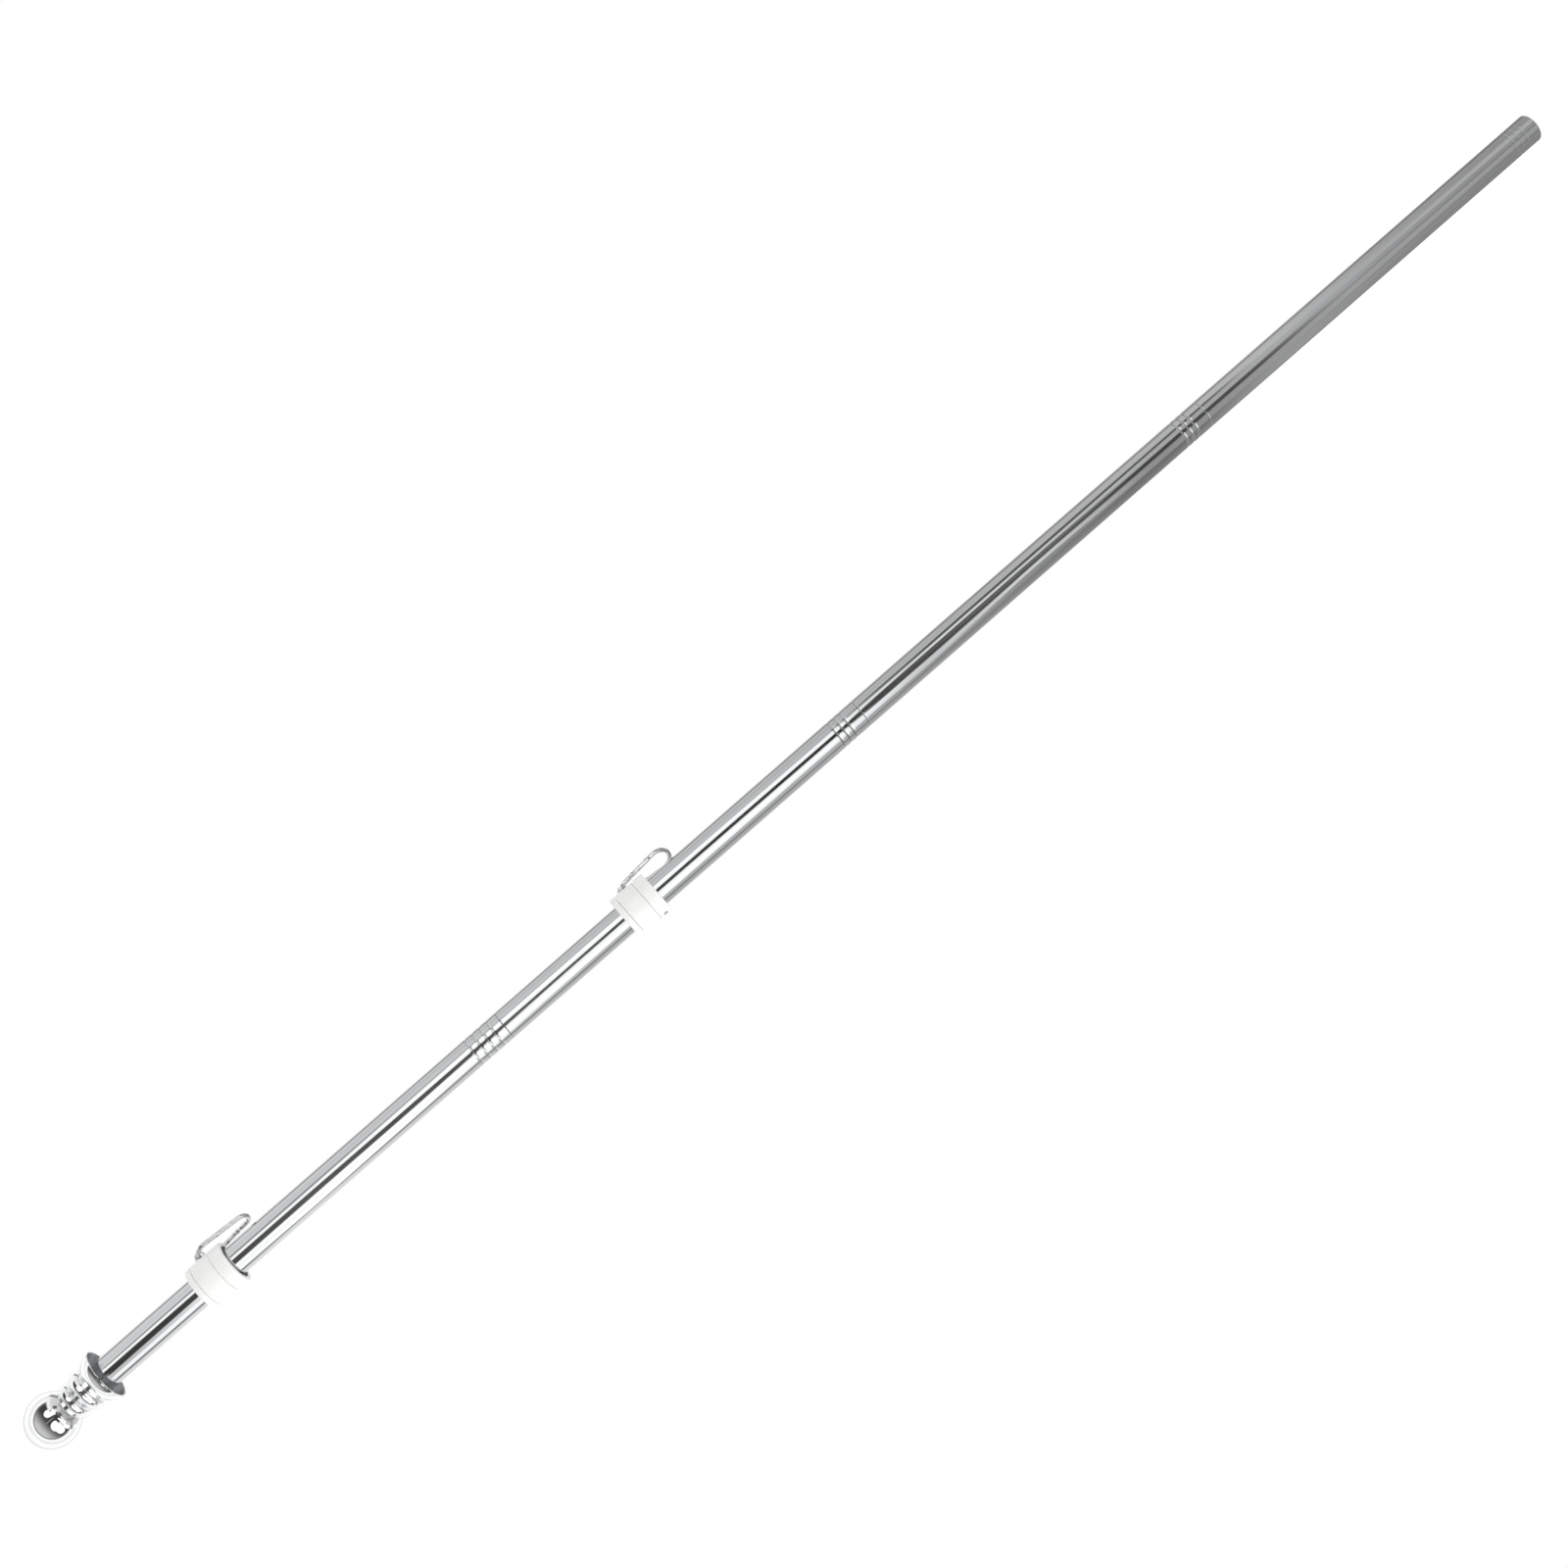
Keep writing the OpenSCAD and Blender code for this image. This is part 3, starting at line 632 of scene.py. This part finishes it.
def bent(name, path, taper, wireR, slot, sides=28):
    mesh = bpy.data.meshes.new(name)
    mesh.from_pydata([tuple(v * mm for v in p) for p in path], [(i, i + 1) for i in range(len(path) - 1)], [])
    mesh.attributes.new("taper", "FLOAT", "POINT").data.foreach_set("value", taper)
    values = {"Sides": sides, "Wire radius": wireR * mm, "Finish": finishes[slot]}
    made = plainMesh(name, mesh, wireGroup, wireSpots, values)
    stray = made.attributes.get("taper")
    if stray:
        made.attributes.remove(stray)
    return tidyMesh(made)


def arc(cr, cz, r, start, stop, steps):
    points = []
    for i in range(steps + 1):
        a = math.radians(start + (stop - start) * i / steps)
        points.append((cr + r * math.cos(a), cz + r * math.sin(a)))
    return points


def rounded(corners, steps=6):
    # corners are (r, z, fillet), round a closed loop
    points = []
    count = len(corners)
    for i, (r, z, fillet) in enumerate(corners):
        here = Vector((r, z))
        before = (Vector(corners[i - 1][:2]) - here).normalized()
        after = (Vector(corners[(i + 1) % count][:2]) - here).normalized()
        half = before.angle(after) / 2
        cut = fillet / math.tan(half)
        mid = here + (before + after).normalized() * (fillet / math.sin(half))
        first = here + before * cut - mid
        sweep = first.angle_signed(here + after * cut - mid)
        for k in range(steps + 1):
            v = first.copy()
            v.rotate(Matrix.Rotation(-sweep * k / steps, 2))
            points.append(tuple(mid + v))
    return points


def piece(name, mesh, body, node):
    mesh.name = name
    obj = newObject(name, mesh)
    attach(obj, body)
    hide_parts(node)


# tube sections with their rolled grooves
tubes = {
    "outer": 12.7, "wall": 0.8, "edge": 0.65, "edgeSteps": 5, "edgeFlat": 0.2, "grooveWidth": 3.3,
    "grooveSteps": 18, "grooveFlat": 0.4, "stations": (0.25, 0.5, 0.75), "segments": 128}

# name, foot, length, depth of the grooves and their heights over the foot
sections = [("base", 0, 381, 0.14, (14, 20.2, 26.4)), ("second", 381, 381, 0.34, (14, 20.2, 26.4)),
            ("third", 762, 381, 0.34, (14, 20.2, 26.4)), ("top", 1143, 421, 0.34, (9.2, 16.7, 24.2, 31.7))]


def grooveLine(r, foot, depth, heights):
    points = []
    half, steps, flat = tubes["grooveWidth"] / 2, tubes["grooveSteps"], tubes["grooveFlat"]
    for height in heights:
        mid = foot + height
        points.append((r, mid - half - flat))
        for i in range(steps + 1):
            k = -1 + 2 * i / steps
            dip = depth * (0.5 + 0.5 * math.cos(math.pi * k))
            points.append((r - dip, mid + half * k))
        points.append((r, mid + half + flat))
    return points


def addTubes():
    outer, bore, edge = tubes["outer"], tubes["outer"] - tubes["wall"], tubes["edge"]
    steps, flat = tubes["edgeSteps"], tubes["edgeFlat"]
    for name, foot, length, depth, heights in sections:
        head = foot + length
        loop = [(bore, foot)] + arc(outer - edge, foot + edge, edge, -90, 0, steps)
        loop += [(outer, foot + edge + flat)] + grooveLine(outer, foot, depth, heights)
        loop += [(outer, foot + length * k) for k in tubes["stations"]] + [(outer, head - edge - flat)]
        loop += arc(outer - edge, head - edge, edge, 0, 90, steps) + [(bore, head)]
        loop += grooveLine(bore, foot, depth, heights)[::-1]
        mesh = turned(name + "Tube", loop, "tube_steel", tubes["segments"])
        piece(name + "Tube", mesh, "pole", name + "_section")


addTubes()
print("tubes done")


# finial: dome, two beads and ball
finial = {
    "rim": 1552.0, "tubeTop": 1564.0, "domeZ": 1547.9, "domeR": 22.9, "domeWall": 1.5, "lip": 0.6,
    "lipIn": (0.5, 0.02), "lipShape": [(0.8, 0.0), (0.25, 0.15), (0.02, 0.55)], "lipTurn": 2.6,
    "bead1": (11.6, 1570.8, 6.0), "bead2": (10.2, 1583.0, 5.4), "seat": 1587.05, "spigotR": 7.0,
    "spigotTop": 1593.05, "studR": 6.2, "studTop": 1589.0, "ballR": 22.0, "ballFoot": 12.5,
    "ballWall": 1.2, "ballFloor": 2.5, "ballRoom": 0.05, "cove": 0.5, "coveSteps": 6, "core": 11.0,
    "segments": 160, "steps": {"dome": 40, "bead1": 40, "bead2": 32, "inner": 24, "skin": 96, "core": 48}}


def crossing(c0, r0, c1, r1):
    # the outer crossing of two circles in the profile plane
    d = Vector(c1) - Vector(c0)
    a = (r0 * r0 - r1 * r1 + d.length_squared) / (2 * d.length)
    h = math.sqrt(r0 * r0 - a * a)
    base = Vector(c0) + d.normalized() * a
    side = Vector((d.y, -d.x)).normalized()
    return max((base + side * h, base - side * h), key=lambda p: p.x)


def angleAt(c, p):
    return math.degrees(math.atan2(p[1] - c[1], p[0] - c[0]))


def across(radius, rise):
    # half the width of a circle at a height over its centre
    return math.sqrt(radius ** 2 - rise ** 2)


def coved(first, second):
    # a small cove where two bulges meet: drop the points near the crease and bridge them
    size, steps = finial["cove"], finial["coveSteps"]
    crease = Vector(first[-1])
    a = [p for p in first if (Vector(p) - crease).length > size]
    b = [p for p in second if (Vector(p) - crease).length > size]
    p, q = Vector(a[-1]), Vector(b[0])
    bridge = []
    for i in range(1, steps):
        k = i / steps
        bridge.append(tuple(p * (1 - k) ** 2 + crease * 2 * k * (1 - k) + q * k * k))
    return a + bridge + b


def addFinialBase():
    f = finial
    steps = f["steps"]
    dome, rim, lip, seat = (0.0, f["domeZ"]), f["rim"], f["lip"], f["seat"]
    c1, r1 = f["bead1"][:2], f["bead1"][2]
    c2, r2 = f["bead2"][:2], f["bead2"][2]
    x0 = crossing(dome, f["domeR"], c1, r1)
    x1 = (f["core"], c1[1] + across(r1, f["core"] - c1[0]))
    x2 = (f["core"], c2[1] - across(r2, f["core"] - c2[0]))
    inR = f["domeR"] - f["domeWall"]
    rimR = across(f["domeR"], rim - f["domeZ"])
    rimIn = across(inR, rim - f["domeZ"])
    roof = across(inR, f["tubeTop"] - f["domeZ"])
    seatR = c2[0] + across(r2, seat - c2[1])
    inset, lift = f["lipIn"]
    shell = [(rimIn + lip * inset, rim + lift)] + [(rimR - lip * a, rim + lip * b) for a, b in f["lipShape"]]
    start = angleAt(dome, (rimR, rim)) + f["lipTurn"]
    shell += arc(0, f["domeZ"], f["domeR"], start, angleAt(dome, x0), steps["dome"])
    low = arc(*c1, r1, angleAt(c1, x0), angleAt(c1, x1), steps["bead1"])
    high = arc(*c2, r2, angleAt(c2, x2), angleAt(c2, (seatR, seat)), steps["bead2"])
    loop = coved(shell, low) + high
    loop += [(f["spigotR"], seat), (f["spigotR"], f["spigotTop"]), (0, f["spigotTop"])]
    loop += [(0, f["studTop"]), (f["studR"], f["studTop"]), (f["studR"], f["tubeTop"]), (roof, f["tubeTop"])]
    start, stop = angleAt(dome, (roof, f["tubeTop"])), angleAt(dome, (rimIn, rim))
    loop += arc(0, f["domeZ"], inR, start, stop, steps["inner"])[1:-1]
    mesh = turned("finialBase", loop, "finial_chrome", f["segments"])
    piece("finialBase", mesh, "pole", "finial_base")


def addFinialBall():
    f = finial
    seat, ballR = f["seat"], f["ballR"]
    mid = (0, seat + across(ballR, f["ballFoot"]))
    skin = arc(*mid, ballR, 90, angleAt(mid, (f["ballFoot"], seat)), f["steps"]["skin"])
    skin[0] = (0, mid[1] + ballR)
    hole, floor, inR = f["spigotR"] + f["ballRoom"], seat + f["ballFloor"], ballR - f["ballWall"]
    start = angleAt(mid, (across(inR, floor - mid[1]), floor))
    core = arc(*mid, inR, start, 90, f["steps"]["core"])
    core[-1] = (0, mid[1] + inR)
    loop = skin + [(hole, seat), (hole, floor)] + core
    mesh = turned("finialBall", loop, "finial_chrome", f["segments"], closed=False)
    piece("finialBall", mesh, "pole", "finial_ball")


addFinialBase()
addFinialBall()
print("finial done")


# swivel rings, heights from the foot of each ring; feet are (height, turn of the ear, turn of the clamp)
ring = {
    "feet": {"lower": (982.0, 8.0, -2.0), "upper": (1422.0, -3.0, -116.0)}, "foot": 0.0, "bore": 12.8,
    "barrel": 15.4, "outer": 19.4, "collarBore": 15.45, "collar": 11.0, "swivelBore": 15.6,
    "swivelFoot": 11.2, "swivelHead": 28.5, "flangeFoot": 28.75, "head": 34.0, "bushFoot": 2.5,
    "screwZ": 5.5, "screwHole": 2.1, "holeAt": 16.0, "holeRun": 12.0, "earX": 21.9, "earZ": 19.9,
    "earR": 4.729, "earHalf": 2.6, "earCove": 3.0, "earSunk": 0.2, "earRoot": 0.8, "eye": 3.129,
    "eyeRound": 0.7, "eyeSides": 96, "eyeRoom": 2.0, "earRound": 0.9, "earCount": 144, "earSide": 7,
    "noseSteps": 24, "coveSteps": 8, "segments": 192}

# corners of each profile: the sizes that give its reach and height, and its fillet
ringShapes = {
    "Bushing": [("bore", "bushFoot", 0.3), ("barrel", "bushFoot", 0.3), ("barrel", "flangeFoot", 0.1),
                ("outer", "flangeFoot", 0.35), ("outer", "head", 1.1), ("bore", "head", 0.5)],
    "Collar": [("collarBore", "foot", 0.5), ("outer", "foot", 1.0), ("outer", "collar", 0.35),
               ("collarBore", "collar", 0.2)],
    "Swivel": [("swivelBore", "swivelFoot", 0.3), ("outer", "swivelFoot", 0.35),
               ("outer", "swivelHead", 0.35), ("swivelBore", "swivelHead", 0.3)]}


def ringPlace(which, clamped=False):
    foot, turn, clamp = ring["feet"][which]
    angle = math.radians(clamp if clamped else turn)
    return Matrix.Translation((0, 0, foot * mm)) @ Matrix.Rotation(angle, 4, "Z")


def cutter(make, place, **sizes):
    mesh = bpy.data.meshes.new("cutter")
    b = bmesh.new()
    make(b, **sizes)
    b.to_mesh(mesh)
    b.free()
    mesh.transform(place)
    return mesh


def rod(radius, length, place, sides=48):
    return cutter(bmesh.ops.create_cone, place, cap_ends=True, segments=sides, radius1=radius * mm,
                  radius2=radius * mm, depth=length * mm)


def block(size, place):
    return cutter(bmesh.ops.create_cube, place @ Matrix.Diagonal((*size, 1)), size=mm)


def carve(mesh, other, how="DIFFERENCE"):
    a = newObject("carved", mesh)
    c = newObject("cutter", other)
    mod = a.modifiers.new("carve", "BOOLEAN")
    mod.object = c
    mod.operation = how
    mod.solver = "EXACT"
    deps = bpy.context.evaluated_depsgraph_get()
    made = bpy.data.meshes.new_from_object(a.evaluated_get(deps))
    bpy.data.objects.remove(a)
    bpy.data.objects.remove(c)
    return made


def earOutline():
    # the ear from the side, about its eye: a round nose, a cove to the swivel's skin, and a root inside it
    p = ring
    skin = p["outer"] - p["earX"] - p["earSunk"]
    cove, nose = p["earCove"], p["earR"]
    mid = (skin + cove, across(nose + cove, skin + cove))
    touch = angleAt((0, 0), mid)
    half = arc(0, 0, nose, 0, touch, p["noseSteps"])
    half += arc(*mid, cove, touch - 180, -180, p["coveSteps"])[1:]
    half.append((p["swivelBore"] + p["earRoot"] - p["earX"], mid[1]))
    return half + [(x, -z) for x, z in half[:0:-1]]


def reachOut(outline, angle):
    # distance from the eye to the outline in one direction
    d = Vector((math.cos(angle), math.sin(angle)))
    close = 1e-6
    best = 0.0
    for a, b in zip(outline, outline[1:] + outline[:1]):
        a, edge = Vector(a), Vector(b) - Vector(a)
        cross = d.x * edge.y - d.y * edge.x
        if abs(cross) < close / 1000:
            continue
        k = (a.x * d.y - a.y * d.x) / cross
        far = (a.x * edge.y - a.y * edge.x) / cross
        if -close <= k <= 1 + close and far > best:
            best = far
    return best


def earMesh():
    # a rounded bar carried round the eye, out to the ear's outline
    p = ring
    count, side, half = p["earCount"], p["earSide"], p["earHalf"]
    outline = earOutline()
    verts = []
    for i in range(count):
        a = 2 * math.pi * (i + 0.5) / count
        c, s = math.cos(a), math.sin(a)
        far = reachOut(outline, a)
        loop = rounded([(p["eye"], -half, p["eyeRound"]), (far, -half, p["earRound"]),
                        (far, half, p["earRound"]), (p["eye"], half, p["eyeRound"])], side)
        verts += [((p["earX"] + c * r) * mm, y * mm, (p["earZ"] + s * r) * mm) for r, y in loop]
    mesh = bpy.data.meshes.new("ear")
    mesh.from_pydata(verts, [], loopFaces(count, 4 * (side + 1), True))
    return tidyMesh(mesh)


def addRings():
    p = ring
    hole = Matrix.Translation((-p["holeAt"] * mm, 0, p["screwZ"] * mm)) @ Matrix.Rotation(math.pi / 2, 4, "Y")
    eye = Matrix.Translation((p["earX"] * mm, 0, p["earZ"] * mm)) @ Matrix.Rotation(math.pi / 2, 4, "X")
    for which in p["feet"]:
        for label, shape in ringShapes.items():
            corners = [(p[reach], p[height], fillet) for reach, height, fillet in shape]
            mesh = turned(which + label, rounded(corners), "ring_plastic", p["segments"])
            clamped = label != "Swivel"
            if clamped:
                mesh = carve(mesh, rod(p["screwHole"], p["holeRun"], hole))
            else:
                mesh = carve(mesh, earMesh(), "UNION")
                mesh = carve(mesh, rod(p["eye"], 2 * p["earHalf"] + p["eyeRoom"], eye, p["eyeSides"]))
            mesh = tidyMesh(mesh)
            mesh.transform(ringPlace(which, clamped))
            body = "pole" if clamped else which + "_ring"
            piece(which + label, mesh, body, which + "_" + label.lower())


addRings()
print("rings done")


# grub screws with a hex socket
grub = {
    "radius": 2.0, "near": 12.75, "far": 18.0, "socket": 2.4, "depth": 2.0, "chamfer": 0.3, "point": 0.5,
    "segments": 48, "sharp": 25.0}


def addGrubs():
    g = grub
    r, near, far = g["radius"], g["near"], g["far"]
    line = [(0, near), (r - g["point"], near), (r, near + g["point"]), (r, far - g["chamfer"]),
            (r - g["chamfer"], far), (0, far)]
    for which in ring["feet"]:
        name = which + "Screw"
        mesh = turned(name, line, "hook_zinc", g["segments"], closed=False, spindle=2 * r)
        mesh = carve(mesh, rod(g["socket"] / 2, 2 * g["depth"], Matrix.Translation((0, 0, far * mm)), 6))
        mesh.transform(Matrix.Rotation(-math.pi / 2, 4, "Y"))
        mesh = tidyMesh(mesh, g["sharp"])
        mesh.transform(Matrix.Translation((0, 0, ring["screwZ"] * mm)))
        mesh.transform(ringPlace(which, True))
        piece(name, mesh, "pole", which + "_screw")


addGrubs()
print("grub screws done")


# snap hooks: bent wire, tongues, gate and rivet; lengths run along the gate's side from the narrow bow
hook = {
    "wire": 1.9, "wide": 9.8, "narrow": 6.2, "bows": 32.2, "lean": 6.4185, "side": 31.998, "heel": 6.3,
    "nose": 28.598, "rivetAt": 9.0, "gate": 18.998, "heelReach": 1.5, "tongue": 1.5, "tongueHalf": 1.6,
    "tongueEdge": 0.25, "buried": 0.6, "noseTongue": 3.8, "noseChamfer": 0.5, "noseGap": 0.6, "slot": 1.9,
    "catchAt": 1.6, "catchR": 0.6, "catchRoom": 0.1, "pinShare": 0.8, "rivetR": 0.75, "proud": 0.25,
    "heelRoom": 2.2, "heelRound": 0.5, "gateRound": 0.7, "slotRoom": 1.3, "cutWide": 8.0, "heelCut": 4.0,
    "noseCut": 6.0, "twist": 13.0, "narrowLift": 0.28574, "wideLift": 0.1756, "narrowSteps": 42,
    "wideSteps": 54, "heelSteps": 16, "notchSteps": 8, "gateSteps": (5, 6), "crown": (1.25, 37, 6),
    "gateSides": 48, "pinSides": 24, "rivetSides": 32, "sharp": 35.0}


def alongGate(at):
    a = math.radians(hook["lean"])
    start = Vector((hook["narrow"] * math.cos(a), hook["narrow"] * math.sin(a), 0))
    run = Vector((math.sin(a), -math.cos(a), 0))
    return start + run * at


def gateFrame(at):
    a = math.radians(hook["lean"])
    spot = alongGate(at) * mm
    turn = Matrix(((math.sin(a), math.cos(a), 0), (-math.cos(a), math.sin(a), 0), (0, 0, 1))).to_4x4()
    return Matrix.Translation(spot) @ turn


def hookPlace(which):
    if which == "lower":
        flip, lift = -1, hook["narrowLift"] - hook["narrow"]
    else:
        flip, lift = 1, hook["wideLift"] - hook["wide"] - hook["bows"]
    axes = Matrix(((0, 0, -1), (flip, 0, 0), (0, -flip, 0))).to_4x4()
    spot = Matrix.Translation((ring["earX"] * mm, 0, (ring["earZ"] + lift) * mm))
    return ringPlace(which) @ spot @ Matrix.Rotation(math.radians(hook["twist"]), 4, "Z") @ axes


def hookPath():
    h = hook
    lean = h["lean"]
    bows = arc(0, 0, h["narrow"], lean, 180 - lean, h["narrowSteps"])
    bows += arc(0, -h["bows"], h["wide"], 180 - lean, 360 + lean, h["wideSteps"])
    points = [alongGate(h["heel"]), alongGate(h["heel"] / 2)] + [Vector((x, y, 0)) for x, y in bows]
    return points + [alongGate((h["side"] + h["nose"]) / 2), alongGate(h["nose"])]


def roundEnds(path, size=0.55, steps=4):
    # draws both ends of the wire into rounded tips; returns points and the wire's taper
    turns = [math.pi / 2 * i / steps for i in range(steps + 1)]
    tips = []
    for tip, inside in ((path[0], path[1]), (path[-1], path[-2])):
        back = (inside - tip).normalized() * size
        tips.append([tip + back * (1 - math.sin(a)) for a in turns])
    taper = [1 - (size / hook["wire"]) * (1 - math.cos(a)) for a in turns]
    points = tips[0][::-1] + path[1:-1] + tips[1]
    return points, taper[::-1] + [1.0] * (len(path) - 2) + taper


def plate(outline, levels):
    # a flat tongue from an outline; levels are (height, inset)
    n = len(outline)
    mid = sum((Vector(p) for p in outline), Vector((0, 0))) / n
    verts = []
    for z, inset in levels:
        for p in outline:
            v = Vector(p) - mid
            v = v * (1 - inset / v.length)
            verts.append(((mid.x + v.x) * mm, (mid.y + v.y) * mm, z * mm))
    faces = loopFaces(len(levels), n)
    faces += [tuple(range(n)), tuple(range(len(verts) - n, len(verts)))]
    mesh = bpy.data.meshes.new("tongue")
    mesh.from_pydata(verts, [], faces)
    return tidyMesh(mesh)


def roundedLevels(half, edge, steps=4):
    turns = [math.pi / 2 * i / steps for i in range(steps + 1)]
    levels = [(-half + edge * (1 - math.cos(a)), edge * (1 - math.sin(a))) for a in turns]
    return levels + [(-z, inset) for z, inset in levels[::-1]]


def joined(name, parts, slot):
    b = bmesh.new()
    for part in parts:
        b.from_mesh(part)
    mesh = bpy.data.meshes.new(name)
    b.to_mesh(mesh)
    b.free()
    mesh.materials.append(finishes[slot])
    for poly in mesh.polygons:
        poly.material_index = 0
    return mesh


def hookMesh(name):
    h = hook
    points, taper = roundEnds(hookPath())
    wire = bent(name, points, taper, h["wire"], "hook_zinc")
    half, thick, root = h["tongueHalf"], h["tongue"] / 2, h["buried"]
    tip = arc(h["rivetAt"] - h["heel"], 0, half, -90, 90, h["heelSteps"])
    heel = [(-root, -half)] + tip + [(-root, half)]
    heelPlate = plate(heel, roundedLevels(thick, h["tongueEdge"]))
    heelPlate.transform(gateFrame(h["heel"]))
    reach, catch = h["noseTongue"], h["catchAt"] + h["noseGap"]
    notch, bevel = h["catchR"] + h["catchRoom"], h["noseChamfer"]
    nose = [(root, half), (-reach + bevel, half), (-reach, half - bevel), (-reach, -half + bevel),
            (-reach + bevel, -half), (-catch - notch, -half)]
    nose += arc(-catch, 0, notch, 180, 0, h["notchSteps"]) + [(-catch + notch, -half), (root, -half)]
    nosePlate = plate(nose, [(-thick, 0), (thick, 0)])
    nosePlate.transform(gateFrame(h["nose"]))
    return tidyMesh(joined(name, [wire, heelPlate, nosePlate], "hook_zinc"), h["sharp"], False)


def gateMesh(name):
    h = hook
    w, tail, nose = h["wire"], -h["heelReach"], h["gate"]
    heelR, noseR = h["heelRound"], h["gateRound"]
    heelSteps, noseSteps = h["gateSteps"]
    line = [(0, tail)] + arc(w - heelR, tail + heelR, heelR, -90, 0, heelSteps)
    line += [(w, nose / 2)] + arc(w - noseR, nose - noseR, noseR, 0, 90, noseSteps) + [(0, nose)]
    bar = turned(name, line, "hook_zinc", h["gateSides"], closed=False, spindle=3.0)
    bar.transform(Matrix.Rotation(math.pi / 2, 4, "Y"))
    heelEnd = h["tongueHalf"] + h["heelRoom"]
    noseStart = nose + h["noseGap"] - h["noseTongue"] - h["slotRoom"]
    for low, high in ((-h["heelCut"], heelEnd), (noseStart, noseStart + h["noseCut"])):
        slot = block((high - low, h["cutWide"], h["slot"]), Matrix.Translation(((low + high) / 2 * mm, 0, 0)))
        bar = carve(bar, slot)
    bar = tidyMesh(bar, h["sharp"])
    pinHalf = w * h["pinShare"]
    pinLine = [(0, -pinHalf), (h["catchR"], -pinHalf), (h["catchR"], pinHalf), (0, pinHalf)]
    pin = turned("pin", pinLine, "hook_zinc", h["pinSides"], closed=False, spindle=2.0)
    pin.transform(Matrix.Translation(((nose - h["catchAt"]) * mm, 0, 0)))
    made = joined(name, [bar, pin], "hook_zinc")
    made.transform(gateFrame(h["rivetAt"]))
    return tidyMesh(made, h["sharp"], False)


def rivetMesh(name):
    h = hook
    r, top = h["rivetR"], h["wire"] + h["proud"]
    share, stop, steps = h["crown"]
    head = arc(0, top - r * share, r * share, 90, stop, steps)
    head[0] = (0, top)
    flat = head + [(r, head[-1][1])]
    line = [(x, -z) for x, z in flat] + flat[::-1]
    mesh = turned(name, line, "hook_zinc", h["rivetSides"], closed=False, spindle=2.0)
    mesh.transform(gateFrame(h["rivetAt"]))
    return mesh


def addHooks():
    for which in ring["feet"]:
        for label, build, body in (("Hook", hookMesh, "_snap"), ("Gate", gateMesh, "_snap_gate"),
                                   ("Rivet", rivetMesh, "_snap")):
            mesh = build(which + label)
            mesh.transform(hookPlace(which))
            piece(which + label, mesh, which + body, which + "_" + label.lower())


addHooks()
print("snap hooks done")


# the insert that shows in the foot, with its thread
insert = {
    "outer": 11.85, "bore": 6.2, "foot": 2.0, "head": 34.0, "chamfer": 0.4, "mouth": 0.9, "segments": 96,
    "pitch": 1.75, "threadDepth": 0.52, "threadRoot": 0.12, "rootShare": 0.84, "crestShare": 0.22,
    "turnSteps": 48, "sharp": 30.0}


def threadMesh(name):
    p = insert
    crest, root = p["threadDepth"], p["threadRoot"]
    run = p["head"] - p["foot"] - 2 * p["mouth"]
    values = {"Turns": run / p["pitch"], "Bore radius": p["bore"] * mm, "Run": run * mm,
              "Root width": p["pitch"] * p["rootShare"] * mm,
              "Crest width": p["pitch"] * p["crestShare"] * mm,
              "Depth": (crest + root) * mm, "Steps": p["turnSteps"],
              "Crest shift": ((crest - root) / 2 * mm, 0.0, 0.0), "Finish": finishes["insert_alloy"]}
    mesh = plainMesh(name, bpy.data.meshes.new(name), threadGroup, threadSpots, values)
    mesh.transform(Matrix.Translation((0, 0, (p["foot"] + p["mouth"]) * mm)))
    return tidyMesh(mesh, p["sharp"])


def addInserts():
    p = insert
    outer, bore, foot, head, bevel = p["outer"], p["bore"], p["foot"], p["head"], p["chamfer"]
    tubeFoot, length, depth, heights = sections[0][1:]
    loop = [(bore + p["mouth"], foot), (outer - bevel, foot), (outer, foot + bevel)]
    loop += grooveLine(outer, tubeFoot, depth, heights) + [(outer, head), (bore + p["mouth"], head)]
    loop += [(bore, head - p["mouth"]), (bore, foot + p["mouth"])]
    body = turned("baseSocket", loop, "insert_alloy", p["segments"])
    mesh = joined("baseSocket", [body, threadMesh("thread")], "insert_alloy")
    piece("baseSocket", tidyMesh(mesh, p["sharp"], False), "pole", "base_socket")
    for name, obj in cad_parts.items():
        if name.endswith(("_plug", "_socket")):
            obj.data.materials.clear()
            obj.data.materials.append(finishes["insert_alloy"])


addInserts()
print("inserts done")

bpy.context.view_layer.update()
